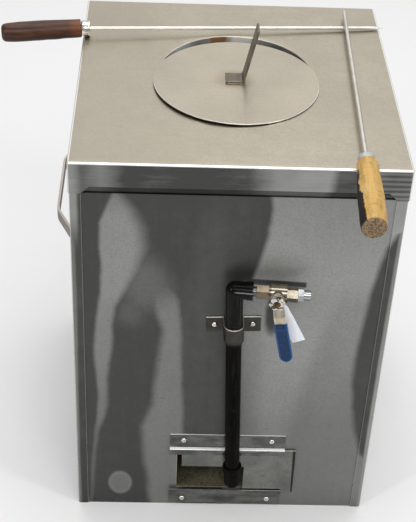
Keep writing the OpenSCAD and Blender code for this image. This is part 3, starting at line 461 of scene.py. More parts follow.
def panel_sheet(colours):
    """Satin stainless of the front panel: broad light and dark fields of painted reflection, a painted shadow
    behind the valve and the lever, a painted highlight on the port's cut edge, stains and fine scratches.
    """
    steel = Finish("panel_sheet", metallic=0.4)
    mottle = steel.noise(55.0, 5.0, 0.65)
    fine = steel.noise(760.0, 3.0, 0.6, stretch=(0.7, 1.0, 1.0))
    cloud = steel.noise(16.0, 3.0, 0.5)
    upright = steel.noise(90.0, 3.0, 0.6, stretch=(1.0, 1.0, 0.04))
    level, behind = front_fields(steel)
    level = level + (mottle - 0.5) * 0.16 + (cloud - 0.5) * 0.12 + (upright - 0.5) * 0.10
    # Painted reflections: the fields blend a shaded and a lit tone of the steel
    dark = scaled(colours.steel_dark, 0.64)
    sheet = steel.blend(level.most(0.0).least(1.2), dark, scaled(colours.steel_light, 0.9))
    sheet = steel.blend(steel.rise(fine, 0.4, 0.64) * 0.22, sheet, scaled(dark, 0.6))
    scratch = steel.noise(60.0, 3.0, 0.7, stretch=(1.0, 1.0, 6.0), turn=(0.0, 0.6, 0.0))
    scratch = steel.rise(scratch, 0.68, 0.72)
    speck = 1 - steel.rise(steel.cells(42.0), 0.03, 0.08)
    stain = (scratch + speck * steel.rise(mottle, 0.50, 0.58)).least(1.0)
    sheet = steel.blend(stain * 0.55, sheet, scaled(colours.steel_dark, 0.5))
    # Painted shadow behind the valve and the lever
    sheet = steel.blend(behind * 0.75, sheet, scaled(colours.steel_dark, 0.3))
    # Painted highlight along the port's cut edge
    cut_x = steel.stripe(steel.x, 3 * MM, 70.6 * MM, 0.4 * MM)
    cut = cut_x * steel.stripe(steel.z, 72 * MM, 35.6 * MM, 0.4 * MM)
    steel.paint(base=steel.blend(cut * 0.6, sheet, tone(196, 184, 156)))
    steel.rough(mottle, 0.36, 0.46)
    steel.bump(steel.noise(700.0, 2.0, 0.5, stretch=(0.03, 1.0, 1.0)) + mottle, 0.03 * MM, 0.2)
    return steel


def lid_sheet(colours):
    """Warm brushed stainless of the lid: side-to-side grain, painted lighter towards the front and darker to
    the left, a painted highlight on the fold and the corners, a darker skirt banded with painted reflections,
    and painted shade inside the skirt.
    """
    steel = Finish("lid_sheet", metallic=1.0)
    grain = steel.noise(420.0, 3.0, 0.6, stretch=(0.03, 1.0, 1.0))
    cloud = steel.noise(7.0, 3.0, 0.55)
    # Painted light: the top is lighter towards the front and darker towards the left
    front = steel.rise(0 - steel.y, -0.2, 0.2)
    smudge = steel.noise(48.0, 5.0, 0.65)
    fine = steel.noise(330.0, 2.0, 0.6)
    top = steel.clouded(cloud, colours.lid, 0.8, 0.94)
    top = steel.blend(front * 0.5, top, colours.lid)
    side = 1 - steel.rise(steel.x, -0.22, 0.02)
    top = steel.blend(side * 0.5, top, scaled(colours.lid, 0.68))
    top = steel.blend((grain - 0.35) * 0.4, top, scaled(colours.lid, 0.7))
    top = steel.blend(steel.rise(smudge, 0.35, 0.7) * 0.3, top, scaled(colours.lid, 0.68))
    top = steel.blend(steel.rise(fine, 0.42, 0.62) * 0.3, top, scaled(colours.lid, 0.66))
    mark = steel.noise(70.0, 4.0, 0.7, stretch=(0.5, 1.6, 1.0), turn=(0.0, 0.0, 0.5))
    mark = steel.rise(mark, 0.70, 0.74)
    top = steel.blend(mark * 0.5, top, scaled(colours.lid, 0.35))
    along = steel.x + steel.y + LID_HIGH.y
    drift = (steel.noise(12.0, 3.0) - 0.5) * 0.02
    # Painted reflections along the skirt, in the casing's shaded and lit tones
    light = steel.curve(along + drift + LID_HIGH.x, SKIRT_LEVEL) * 10.0
    lines = ((steel.z * 850.0 + drift * 90.0).wave() * 0.5 + 0.5) * steel.rise(along, 0.15, 0.165)
    streak = steel.noise(210.0, 4.0, 0.65, stretch=(0.06, 0.06, 1.0))
    smear = steel.noise(60.0, 4.0, 0.65, stretch=(0.5, 0.5, 1.0))
    level = light + (streak - 0.5) * 0.42 + (smear - 0.5) * 0.4 + lines * 0.4
    skirt = steel.blend(level.most(0.0).least(1.5), scaled(colours.steel_dark, 0.95), colours.steel_light)
    # The top takes the lid's lit tone and the skirt the casing's darker tones, though both are one steel
    upward = steel.rise(steel.z, LID_HIGH.z - 2.6 * MM, LID_HIGH.z - 1.2 * MM)
    sheet = steel.blend(upward, skirt, top)
    gap_x = LID_HIGH.x - steel.x.size()
    gap_y = LID_HIGH.y - steel.y.size()
    # Painted highlight on the fold and at the corners
    fold = 1 - steel.rise(gap_x.least(gap_y), 1.9 * MM, 2.8 * MM)
    fold = fold * steel.rise(steel.z, LID_HIGH.z - 2.6 * MM, LID_HIGH.z - 1.6 * MM)
    corner = (1 - steel.rise(gap_x.most(gap_y), 1.0 * MM, 2.2 * MM)) * 0.7
    sheet = steel.blend(fold.most(corner), sheet, (0.97, 0.96, 0.93))
    # Painted shade on the inner side of the skirt and the locating lip, in the recess
    inner = steel.rise(gap_x.least(gap_y), 2 * MM, 3 * MM) * (1 - upward)
    sheet = steel.blend(inner * 0.7, sheet, scaled(colours.steel_dark, 0.25))
    steel.paint(base=sheet)
    steel.rough(grain * 0.5 + cloud * 0.5, 0.24, 0.42)
    steel.bump(grain, 0.05 * MM, 0.3)
    return steel


def cover_sheet(colours):
    """Brushed stainless of the flue cover, tinted by heat round the handle's foot, with a painted shadow of
    the handle and a painted highlight round its rim.
    """
    steel = Finish("cover_sheet", metallic=1.0)
    grain = steel.noise(420.0, 3.0, 0.6, stretch=(0.03, 1.0, 1.0))
    cloud = steel.noise(9.0, 3.0, 0.55)
    fine = steel.noise(330.0, 2.0, 0.6)
    sheet = steel.clouded(cloud, colours.lid, 0.82, 0.98)
    sheet = steel.blend((grain - 0.35) * 0.35, sheet, scaled(colours.lid, 0.72))
    sheet = steel.blend(steel.rise(fine, 0.42, 0.62) * 0.25, sheet, scaled(colours.lid, 0.66))
    reach = ((steel.x + 3 * MM) ** 2.0 + (steel.y + 8 * MM) ** 2.0) ** 0.5
    heat = (1 - steel.rise(reach + (cloud - 0.5) * 0.03, 0.017, 0.034)) * 0.35
    sheet = steel.blend(heat, sheet, tone(146, 122, 92))
    rim = ((steel.x ** 2.0) + (steel.y - (DISC_LOW.y + DISC_HIGH.y) / 2) ** 2.0) ** 0.5
    edge = steel.rise(rim, DISC_HIGH.x - 1.1 * MM, DISC_HIGH.x - 0.5 * MM)
    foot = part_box("cover_handle")[0]
    # Painted shadow of the handle, falling forward from its foot
    painted_handle_shadow = steel.stripe(steel.x - (steel.y - foot.y) * 0.045, foot.x + 27 * MM, 1.5 * MM, 3.5 * MM)
    painted_handle_shadow = painted_handle_shadow * steel.rise(foot.y - steel.y, 0.0, 6 * MM) * steel.rise(steel.y, DISC_LOW.y, foot.y)
    sheet = steel.blend(painted_handle_shadow * 0.4, sheet, scaled(colours.lid, 0.4))
    # Painted highlight round the rim, brightest at the front
    bright = steel.between(steel.rise(0 - steel.y, 0.01, 0.05), 0.12, 0.8)
    steel.paint(base=steel.blend(edge * bright, sheet, (0.95, 0.94, 0.91)))
    steel.rough(grain * 0.5 + cloud * 0.5, 0.26, 0.42)
    steel.bump(grain, 0.05 * MM, 0.3)
    return steel


def collar_sheet(colours):
    """Bright collar of the flue, with painted highlight stripes, painted shade towards its right side and a
    rust and heat patch at the back.
    """
    steel = Finish("collar_sheet", metallic=1.0)
    cloud = steel.noise(30.0, 4.0, 0.6)
    patch = steel.stripe(steel.x + (cloud - 0.5) * 0.03, -0.022, 0.012, 0.005)
    patch = patch * steel.rise(steel.y, 0.05, 0.08)
    sheet = steel.clouded(cloud, colours.bright, 0.3, 0.5, 0.35, 0.65)
    # Painted highlights in upright stripes
    shine = steel.stripe(steel.x + (cloud - 0.5) * 0.02, 0.012, 0.018, 0.008)
    shine = shine.most(steel.stripe(steel.x, -0.082, 0.014, 0.02))
    sheet = steel.blend(shine * 0.9, sheet, scaled(colours.bright, 1.1))
    # Painted shade towards the right side
    sheet = steel.blend(steel.rise(steel.x, 0.03, 0.06) * 0.6, sheet, scaled(colours.bright, 0.14))
    steel.paint(base=steel.blend(patch * 0.9, sheet, tone(128, 84, 46)))
    steel.paint(metal=0.2 - patch * 0.15)
    steel.rough(patch, 0.2, 0.6)
    steel.bump(cloud, 0.1 * MM, 0.3)
    return steel


def strip_steel(colours):
    """Dull hot-rolled strip with brown heat tints."""
    steel = Finish("strip_steel", metallic=1.0)
    cloud = steel.noise(60.0, 4.0, 0.6)
    grain = steel.noise(500.0, 2.0, 0.5)
    sheet = steel.clouded(cloud, colours.strip, 0.42, 0.76)
    brown = steel.rise(steel.noise(35.0, 3.0, 0.6), 0.52, 0.72)
    steel.paint(base=steel.blend(brown * 0.5, sheet, tone(112, 90, 62)))
    steel.rough(cloud, 0.32, 0.5)
    steel.bump(grain + cloud, 0.08 * MM, 0.35)
    return steel


def rod_steel(colours):
    """Bright drawn rod with faint rings."""
    steel = Finish("rod_steel", metallic=1.0)
    cloud = steel.noise(50.0, 3.0, 0.6)
    steel.paint(base=steel.clouded(cloud, colours.bright, 0.86, 1.0, 0.35, 0.7))
    steel.rough(cloud, 0.26, 0.36)
    steel.bump(steel.noise(500.0, 2.0), 0.03 * MM, 0.3)
    return steel


def clamp_steel(colours):
    """Dark brown strip of the clamp, with a painted highlight along its upper edge."""
    steel = Finish("clamp_steel", metallic=1.0)
    low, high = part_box("pipe_clamp")
    cloud = steel.noise(70.0, 4.0, 0.6)
    lean = (high.z - low.z - CLAMP_HEIGHT) / (high.x - low.x)
    top = steel.z - (steel.x - (low.x + high.x) / 2) * lean - (low.z + high.z) / 2 - CLAMP_HEIGHT / 2
    # Painted highlight along the upper edge
    edge = steel.rise(top, -1.5 * MM, -0.8 * MM)
    sheet = steel.clouded(cloud, colours.clamp, 0.7, 1.2)
    brown = steel.rise(steel.noise(40.0, 3.0, 0.6), 0.5, 0.7)
    sheet = steel.blend(brown * 0.4, sheet, tone(72, 62, 48))
    steel.paint(base=steel.blend(edge * 0.8, sheet, colours.bright))
    steel.rough(cloud, 0.26, 0.42)
    steel.bump(cloud, 0.08 * MM, 0.35)
    return steel


def strap_steel(colours):
    """Brushed strap of the carry handles, with a painted highlight on its upward faces."""
    steel = Finish("strap_steel", metallic=1.0)
    grain = steel.noise(600.0, 2.0, 0.5, stretch=(1.0, 0.03, 1.0))
    cloud = steel.noise(24.0, 3.0, 0.6)
    strap = steel.clouded(cloud, colours.strip, 0.14, 0.42)
    # Painted highlight on upward faces
    above = steel.rise(steel.lift, 0.1, 0.6)
    steel.paint(base=steel.blend(above * 0.85, strap, tone(206, 194, 182)))
    steel.rough(grain, 0.22, 0.42)
    steel.bump(grain, 0.05 * MM, 0.4)
    return steel


def bright_steel(colours):
    """Polished steel with faint smears."""
    steel = Finish("bright_steel", metallic=1.0)
    cloud = steel.noise(90.0, 3.0, 0.6)
    steel.paint(base=steel.clouded(cloud, colours.bright, 0.8, 1.0, 0.35, 0.7))
    steel.rough(cloud, 0.1, 0.26)
    steel.bump(cloud, 0.04 * MM, 0.3)
    return steel


def nut_chrome(colours):
    """Chromed lever nut, mirror bright with painted dark reflections and painted shade on its downward faces.
    """
    steel = Finish("nut_chrome", metallic=1.0)
    patch = steel.noise(150.0, 2.0, 0.5, bend=0.6)
    # Painted dark reflections in patches, and painted shade on downward faces
    dark = steel.rise(patch, 0.5, 0.58)
    below = 1 - steel.rise(steel.lift, -0.5, 0.2)
    shade = dark.most(below) * 0.92
    steel.paint(base=steel.blend(shade, scaled(colours.bright, 0.9), scaled(colours.bright, 0.03)))
    steel.rough(patch, 0.06, 0.14)
    steel.bump(patch, 0.1 * MM, 0.3)
    return steel


def stem_brass(colours):
    """Bare brass of the valve's stem."""
    brass = Finish("stem_brass", metallic=1.0)
    cloud = brass.noise(240.0, 3.0, 0.6)
    brass.paint(base=brass.blend(brass.rise(cloud, 0.35, 0.65), tone(46, 34, 20), tone(112, 88, 56)))
    brass.rough(cloud, 0.2, 0.4)
    brass.bump(cloud, 0.05 * MM, 0.3)
    return brass


def rail_steel(colours):
    """Rail strip: a painted highlight on the step, weaker on the lower rail, and dull and smeared on the
    flange and the lip.
    """
    steel = Finish("rail_steel", metallic=1.0)
    cloud = steel.noise(45.0, 4.0, 0.65, stretch=(0.5, 1.0, 1.0))
    grain = steel.noise(500.0, 2.0, 0.5, stretch=(0.04, 1.0, 1.0))
    dark = scaled(colours.steel_dark, 1.1)
    dull = steel.blend(steel.rise(cloud, 0.3, 0.7), dark, scaled(colours.steel_light, 0.6))
    # Painted highlight on the step's level faces, weaker on the lower rail, and less metallic there
    sill = 1 - steel.rise(steel.z, 0.06, 0.08)
    step = steel.rise(steel.lift.size(), 0.2, 0.6) * (1 - sill * 0.65)
    steel.paint(base=steel.blend(step, dull, (0.97, 0.96, 0.94)))
    steel.paint(metal=1 - step * 0.85)
    steel.rough(cloud, 0.18, 0.36)
    steel.bump(grain, 0.03 * MM, 0.2)
    return steel


def gate_sheet(colours):
    """Sliding plate, rubbed bright in patches, with a painted shadow line along its right end and a painted
    highlight along its top edge.
    """
    steel = Finish("gate_sheet", metallic=1.0)
    cloud = steel.noise(26.0, 4.0, 0.6)
    grain = steel.noise(500.0, 2.0, 0.5, stretch=(0.04, 1.0, 1.0))
    smear = steel.rise(steel.noise(60.0, 3.0, 0.6), 0.6, 0.72)
    sheet = steel.clouded(cloud, colours.gate, 0.75, 1.2)
    sheet = steel.blend(smear * 0.4, sheet, scaled(colours.gate, 0.5))
    fine = steel.noise(430.0, 3.0, 0.6)
    sheet = steel.blend(steel.rise(fine, 0.42, 0.62) * 0.3, sheet, scaled(colours.gate, 0.6))
    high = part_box("air_gate")[1]
    # Painted shadow line along the plate's right end
    end = high.x - steel.x + (high.z - steel.z) * 0.03
    painted_edge_line = steel.rise(end, 0.4 * MM, 1.0 * MM) * (1 - steel.rise(end, 4.4 * MM, 5.2 * MM))
    sheet = steel.blend(painted_edge_line * 0.9, sheet, scaled(colours.gate, 0.08))
    # Painted highlight along the top edge, less metallic
    rim = steel.rise(steel.z, high.z - 1.6 * MM, high.z - 0.8 * MM)
    steel.paint(base=steel.blend(rim * 0.35, sheet, colours.bright))
    steel.paint(metal=1 - rim * 0.5)
    steel.rough(cloud, 0.22, 0.38)
    steel.bump(grain + cloud, 0.05 * MM, 0.3)
    return steel


def iron_skin(name, shine, low, high):
    """Black pipe skin with rubbed spots, as dull or as bright as its shine, and the coat to paint it with."""
    iron = Finish(name, specular_ior_level=shine)
    colours = bpy.context.scene.kiln_colours
    skin = iron.noise(420.0, 3.0, 0.6)
    cloud = iron.noise(40.0, 3.0, 0.6)
    rub = iron.rise(iron.noise(120.0, 4.0, 0.7, stretch=(1.0, 1.0, 0.5)), 0.66, 0.74)
    coat = iron.clouded(cloud, colours.iron, 0.5, 1.2)
    streak = iron.noise(330.0, 4.0, 0.65, stretch=(1.0, 1.0, 0.07))
    coat = iron.blend(iron.rise(streak, 0.5, 0.7) * 0.3, coat, tone(44, 43, 36))
    coat = iron.blend(rub * 0.5, coat, tone(72, 66, 54))
    iron.rough(cloud, low, high)
    iron.bump(skin + cloud * 2.0, 0.1 * MM, 0.3)
    return iron, coat


def black_iron(colours):
    """Satin black pipe."""
    iron, coat = iron_skin("black_iron", 0.02, 0.25, 0.4)
    iron.paint(base=coat)
    return iron


def elbow_iron(colours):
    """Black fitting with a harder shine and a painted highlight line along its arm."""
    iron, coat = iron_skin("elbow_iron", 0.09, 0.08, 0.16)
    low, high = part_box("upper_elbow")
    # Painted highlight line along the upper front of the arm
    arm = iron.rise(iron.x, low.x + 0.25 * (high.x - low.x), low.x + 0.4 * (high.x - low.x))
    line = iron.stripe(iron.lift, 0.34, 0.03, 0.09) * iron.between(iron.noise(90.0, 3.0, 0.6), 0.5, 1.0)
    iron.paint(base=iron.blend(arm * line * 0.8, coat, tone(196, 200, 204)))
    return iron


def nickel_plate(colours):
    """Pale gold nickel plate over brass, worn towards brass in places, with painted shade on its downward
    faces.
    """
    plate = Finish("nickel_plate", metallic=1.0)
    cloud = plate.noise(110.0, 3.0, 0.6)
    skin = plate.noise(700.0, 2.0, 0.5)
    coat = plate.clouded(cloud, colours.nickel, 0.45, 0.85)
    brass = plate.rise(plate.noise(70.0, 3.0, 0.6), 0.6, 0.75)
    coat = plate.blend(brass * 0.35, coat, tone(150, 124, 84))
    end = 1 - plate.rise(plate.x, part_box("valve_end")[1].x - 1 * MM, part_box("valve_end")[1].x + 1 * MM)
    coat = plate.blend(end * 0.65, coat, tone(84, 68, 52))
    # Painted shade on downward faces
    below = 1 - plate.rise(plate.lift, -0.75, 0.35)
    plate.paint(base=plate.blend(below * 0.9, coat, scaled(colours.nickel, 0.04)))
    plate.rough(cloud, 0.1, 0.22)
    plate.bump(skin, 0.05 * MM, 0.3)
    return plate


def lever_plate(colours):
    """Pale plated strip of the lever."""
    plate = Finish("lever_plate", metallic=0.7)
    cloud = plate.noise(160.0, 4.0, 0.6)
    coat = plate.clouded(cloud, colours.nickel, 0.7, 1.25)
    plate.paint(base=coat)
    plate.rough(cloud, 0.26, 0.4)
    plate.bump(cloud, 0.06 * MM, 0.3)
    return plate


def zinc_plate(colours):
    """Bluish zinc plate with a fine spangle, and painted shade on the close nipple and on downward faces."""
    plate = Finish("zinc_plate", metallic=1.0)
    cloud = plate.noise(80.0, 3.0, 0.6)
    spangle = plate.cells(260.0)
    coat = plate.clouded(cloud, colours.zinc, 0.7, 1.1)
    coat = plate.blend(spangle * 0.3, coat, scaled(colours.zinc, 1.25))
    # Painted shade on the close nipple, between the elbow and the valve
    short = 1 - plate.rise(plate.x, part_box("close_nipple")[1].x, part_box("close_nipple")[1].x + 3 * MM)
    coat = plate.blend(short * 0.75, coat, scaled(colours.zinc, 0.12))
    # Painted shade on downward faces
    below = 1 - plate.rise(plate.lift, -0.6, 0.5)
    plate.paint(base=plate.blend(below * 0.75, coat, scaled(colours.zinc, 0.08)))
    plate.rough(cloud, 0.14, 0.3)
    plate.bump(spangle, 0.03 * MM, 0.3)
    return plate


def ferrule_zinc(colours):
    """Dull zinc of the front poker's ferrule."""
    plate = Finish("ferrule_zinc", metallic=0.5)
    cloud = plate.noise(140.0, 3.0, 0.6)
    plate.paint(base=plate.clouded(cloud, colours.zinc, 0.7, 1.05))
    plate.rough(cloud, 0.36, 0.5)
    plate.bump(cloud, 0.05 * MM, 0.3)
    return plate


def blue_vinyl(colours):
    """Dipped vinyl with a soft gloss, a painted highlight on its border and a darker dish."""
    vinyl = Finish("blue_vinyl", specular_ior_level=0.25)
    cloud = vinyl.noise(150.0, 3.0, 0.6)
    pivot, along, across = lever_frame()
    low, high = reach_along("lever_sleeve", pivot, across)
    tip = reach_along("lever_sleeve", pivot, along)[1]
    side = vinyl.reach(pivot, across) - (low + high) / 2
    far = vinyl.reach(pivot, along)
    bow = tip - (high - low) / 2
    rim = (side ** 2.0 + (far - bow).most(0.0) ** 2.0) ** 0.5
    # Painted highlight on the border, with the dish darker
    border = vinyl.rise(rim, (high - low) / 2 - 2.6 * MM, (high - low) / 2 - 1.4 * MM)
    coat = vinyl.blend(border, scaled(colours.vinyl, 0.7), scaled(colours.vinyl, 2.4))
    vinyl.paint(base=vinyl.blend(vinyl.rise(cloud, 0.4, 0.7) * 0.35, coat, scaled(colours.vinyl, 1.6)))
    vinyl.rough(cloud, 0.2, 0.32)
    vinyl.bump(vinyl.noise(900.0, 2.0), 0.05 * MM, 0.3)
    return vinyl


def blank_card(colours):
    """Plain white card with a faint fibre."""
    card = Finish("blank_card", specular_ior_level=0.3)
    fibre = card.noise(700.0, 4.0, 0.6)
    card.paint(base=card.clouded(fibre, colours.card, 0.93, 1.0))
    card.rough(fibre, 0.6, 0.8)
    card.bump(fibre, 0.03 * MM, 0.4)
    return card


def seat_plastic(colours):
    """White valve seats."""
    seat = Finish("seat_plastic", specular_ior_level=0.4)
    cloud = seat.noise(200.0, 2.0)
    seat.paint(base=seat.blend(cloud, (0.7, 0.68, 0.62), (0.82, 0.8, 0.74)))
    seat.rough(cloud, 0.4, 0.55)
    return seat


def fibre_board(colours):
    """Speckled brown insulating board."""
    board = Finish("fibre_board", specular_ior_level=0.2)
    flake = board.cells(210.0)
    cloud = board.noise(18.0, 4.0, 0.6)
    fleck = board.noise(330.0, 3.0, 0.7)
    body = board.clouded(cloud, colours.fibre, 0.55, 1.0)
    body = board.blend(board.rise(fleck, 0.58, 0.68) * 0.7, body, scaled(colours.fibre, 2.2))
    body = board.blend(board.rise(flake, 0.55, 0.8) * 0.6, body, scaled(colours.fibre, 0.3))
    board.paint(base=body)
    board.rough(fleck, 0.8, 0.95)
    board.bump(fleck + flake, 0.5 * MM, 0.6)
    return board


def kiln_ceramic(colours):
    """Buff cordierite with dark grog specks."""
    clay = Finish("kiln_ceramic", specular_ior_level=0.25)
    cloud = clay.noise(22.0, 4.0, 0.6)
    grog = 1 - clay.rise(clay.cells(240.0), 0.08, 0.2)
    body = clay.clouded(cloud, colours.cordierite, 0.78, 1.0)
    clay.paint(base=clay.blend(grog * 0.6, body, scaled(colours.cordierite, 0.35)))
    clay.rough(cloud, 0.7, 0.88)
    clay.bump(clay.noise(500.0, 3.0, 0.6), 0.2 * MM, 0.5)
    return clay


def dark_wood(colours):
    """Varnished dark handle, streaked along its length, with painted shade below, darker at its far end, and
    redder next to its ferrule.
    """
    wood = Finish("dark_wood", specular_ior_level=0.3, coat_weight=0.08, coat_roughness=0.3)
    low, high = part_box("side_poker_grip")
    streak = wood.noise(240.0, 4.0, 0.6, stretch=(0.08, 1.0, 1.0), bend=0.4)
    pore = wood.noise(520.0, 3.0, 0.7, stretch=(0.25, 1.0, 1.0))
    cloud = wood.noise(26.0, 3.0, 0.6)
    shade = colours.dark_wood
    body = wood.clouded(streak, shade, 0.32, 1.0)
    body = wood.blend(wood.rise(cloud, 0.45, 0.75) * 0.35, body, scaled(shade, 0.3))
    red = wood.rise(wood.x + (cloud - 0.5) * 0.04, high.x - 0.022, high.x - 0.004)
    body = wood.blend(red * 0.6, body, tone(124, 66, 30))
    body = wood.blend(wood.rise(pore, 0.55, 0.7) * 0.6, body, scaled(shade, 0.15))
    # Painted shade on the underside; the far end is darkened as well
    below = 1 - wood.rise(wood.lift, -0.7, 0.3)
    end = 1 - wood.rise(wood.x, low.x + 1 * MM, low.x + 5 * MM)
    wood.paint(base=wood.blend(below.most(end) * 0.75, body, scaled(shade, 0.1)))
    wood.rough(streak, 0.34, 0.5)
    wood.bump(streak + pore * 0.5, 0.15 * MM, 0.4)
    return wood


def light_wood(colours):
    """Pale yellow handle with fine cross figure, a ragged dark left side that is char and painted shade
    together, and a brown sawn end.
    """
    wood = Finish("light_wood", specular_ior_level=0.35)
    middle, along = surface_axis("front_poker_grip")
    lean = along.x / along.y
    side = wood.x - (wood.y - middle.y) * lean - middle.x
    streak = wood.noise(200.0, 4.0, 0.6, stretch=(1.0, 0.07, 1.0), bend=0.5)
    figure = wood.noise(260.0, 3.0, 0.6, stretch=(0.18, 1.0, 0.18), bend=0.8)
    cloud = wood.noise(40.0, 3.0, 0.6)
    body = wood.clouded(streak, colours.light_wood, 0.78, 1.12)
    pale = wood.noise(90.0, 4.0, 0.65, stretch=(1.0, 0.4, 1.0))
    body = wood.blend(wood.rise(pale, 0.45, 0.7) * 0.5, body, tone(208, 182, 124))
    body = wood.blend(wood.rise(figure, 0.54, 0.68) * 0.5, body, scaled(colours.light_wood, 0.5))
    body = wood.blend(wood.rise(cloud, 0.5, 0.75) * 0.4, body, tone(186, 128, 62))
    fleck = wood.noise(420.0, 3.0, 0.7)
    body = wood.blend(wood.rise(fleck, 0.6, 0.72) * 0.5, body, scaled(colours.light_wood, 0.35))
    ragged = wood.noise(70.0, 5.0, 0.7, stretch=(1.0, 0.6, 1.0))
    reach = 0.0 - wood.y
    border = wood.between(wood.rise(reach, 0.27, 0.345), -0.0132, -0.0104)
    # Char along the ragged left side, which also stands in for shade on that side
    char_and_shade = 1 - wood.rise(side + (ragged - 0.5) * 0.010 - border, -0.0006, 0.0006)
    char_and_shade = char_and_shade * wood.rise(reach + (ragged - 0.5) * 0.02, 0.2405, 0.2455)
    body = wood.blend(char_and_shade, body, tone(26, 18, 16))
    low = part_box("front_poker_grip")[0]
    sawn = 1 - wood.rise(wood.y, low.y + 3.0 * MM, low.y + 4.6 * MM)
    rings = (wood.noise(90.0, 3.0, 0.6) * 40.0).wave() * 0.5 + 0.5
    end = wood.blend(rings, tone(88, 70, 50), tone(140, 116, 86))
    wood.paint(base=wood.blend(sawn, body, end))
    wood.rough(streak, 0.42, 0.62)
    wood.bump(streak + figure * 0.5, 0.2 * MM, 0.4)
    return wood


def pale_floor(colours):
    """Plain pale floor."""
    floor = Finish("pale_floor", specular_ior_level=0.2)
    shade = bpy.context.scene.kiln_stage.floor
    cloud = floor.noise(0.6, 2.0)
    floor.paint(base=floor.blend(cloud, scaled(shade, 0.98), shade))
    floor.rough(cloud, 0.7, 0.8)
    return floor


def surface_axis(node):
    """The middle of a solid's surface, and the direction along its length."""
    mesh = NODES[node].data
    mesh.calc_loop_triangles()
    places = np.array([vertex.co for vertex in mesh.vertices])
    corners = places[np.array([triangle.vertices for triangle in mesh.loop_triangles])]
    areas = np.array([triangle.area for triangle in mesh.loop_triangles])
    middle = (corners.mean(1) * areas[:, None]).sum(0) / areas.sum()
    spread = corners - middle
    sums = spread.sum(1)
    moment = np.einsum("t,tki,tkj->ij", areas, spread, spread) + np.einsum("t,ti,tj->ij", areas, sums, sums)
    axes = np.linalg.eigh(moment)[1]
    return Vector(middle), Vector(axes[:, 2])


def reach_along(node, start, direction):
    """How far a solid reaches along a line, from its nearest to its furthest point."""
    shares = [(vertex.co - start).dot(direction) for vertex in NODES[node].data.vertices]
    return min(shares), max(shares)


def lever_frame():
    """Where the lever turns, which way it points and which way is across it."""
    joint = JOINTS["valve_turn"]
    pivot = Vector(joint["pos_m"])
    out = Vector(joint["axis"]).normalized()
    middle, along = surface_axis("lever_sleeve")
    along = along - out * along.dot(out)
    along.normalize()
    if (middle - pivot).dot(along) < 0:
        along = -along
    return pivot, along, out.cross(along)


def welded(node):
    """A working mesh of a solid with its doubled points made one."""
    work = bmesh.new()
    work.from_mesh(NODES[node].data)
    bmesh.ops.remove_doubles(work, verts=work.verts, dist=0.001 * MM)
    return work


def solids_in(node):
    """The box of each separate solid in a node."""
    work = welded(node)
    left = set(work.verts)
    boxes = []
    while left:
        group = [left.pop()]
        for vertex in group:
            near = [edge.other_vert(vertex) for edge in vertex.link_edges]
            group.extend(v for v in near if v in left)
            left.difference_update(near)
        low = Vector(min(v.co[i] for v in group) for i in range(3))
        high = Vector(max(v.co[i] for v in group) for i in range(3))
        boxes.append((low, high))
    work.free()
    return sorted(boxes, key=lambda box: (round(box[0].x, 4), round(box[0].z, 4), box[0].y))


def add_piece(name, mesh, maker, sharp=35.0):
    """An object for a mesh, smooth but for its sharp edges, in its finish."""
    mesh.shade_smooth()
    mesh.set_sharp_from_angle(angle=math.radians(sharp))
    mesh.materials.clear()
    mesh.materials.append(finish_of(maker))
    piece = bpy.data.objects.new(name, mesh)
    bpy.context.scene.collection.objects.link(piece)
    return piece


def settle(piece, body, slot, *nodes):
    """Puts a finished piece on its body and in place of the solids that it stands for; its slot is not used.
    """
    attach(piece, body)
    if nodes:
        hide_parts(*nodes)
    return piece


def stand_for(piece, node):
    """Puts a piece in place of one solid."""
    return settle(piece, BODY_OF[node], SLOT_OF[node], node)


def dress(node, name, mesh, maker, sharp=35.0):
    """A made mesh in place of one solid, in its finish."""
    return stand_for(add_piece(name, mesh, maker, sharp), node)


def plain_mesh(name, work):
    """A mesh with nothing but the points and faces of a working mesh, which it uses up."""
    work.verts.index_update()
    points = [vertex.co.copy() for vertex in work.verts]
    faces = [[vertex.index for vertex in face.verts] for face in work.faces]
    work.free()
    mesh = bpy.data.meshes.new(name)
    mesh.from_pydata(points, [], faces)
    mesh.update()
    return mesh


def outward_mesh(name, work):
    """A plain mesh with its faces turned outwards."""
    bmesh.ops.recalc_face_normals(work, faces=work.faces)
    return plain_mesh(name, work)


def bevel(piece, width, steps=2, angle=35.0):
    """Eases a piece's edges."""
    ease = piece.modifiers.new("Eased edges", "BEVEL")
    ease.limit_method = "ANGLE"
    ease.angle_limit = math.radians(angle)
    ease.width = width
    ease.segments = steps
    ease.harden_normals = True
    return ease


def merged_copy(node):
    """A working mesh of a solid with its flat faces made whole."""
    work = welded(node)
    bmesh.ops.dissolve_limit(work, angle_limit=math.radians(0.4), verts=work.verts, edges=work.edges)
    return work


def eased(node, width, maker, steps=2):
    """A solid with its edges eased, in its finish."""
    piece = add_piece(node + "_eased", plain_mesh(node + "_eased", merged_copy(node)), maker)
    bevel(piece, width, steps)
    return stand_for(piece, node)


def loft(work, rings, closed=False):
    """Faces between neighbouring rings of points; closed also joins the last ring to the first."""
    rows = [[work.verts.new(point) for point in ring] for ring in rings]
    pairs = list(zip(rows, rows[1:])) + ([(rows[-1], rows[0])] if closed else [])
    for first, second in pairs:
        count = len(first)
        for i in range(count):
            j = (i + 1) % count
            work.faces.new((first[i], first[j], second[j], second[i]))
    return rows


def close_end(work, row, point):
    """Faces from a ring to a point in its middle."""
    pole = work.verts.new(point)
    for i in range(len(row)):
        work.faces.new((row[i], row[(i + 1) % len(row)], pole))


def spokes_round(direction, around):
    """Directions out from a line, evenly round it."""
    side = direction.orthogonal().normalized()
    over = direction.cross(side)
    turns = [2 * math.pi * i / around for i in range(around)]
    return [side * math.cos(turn) + over * math.sin(turn) for turn in turns]


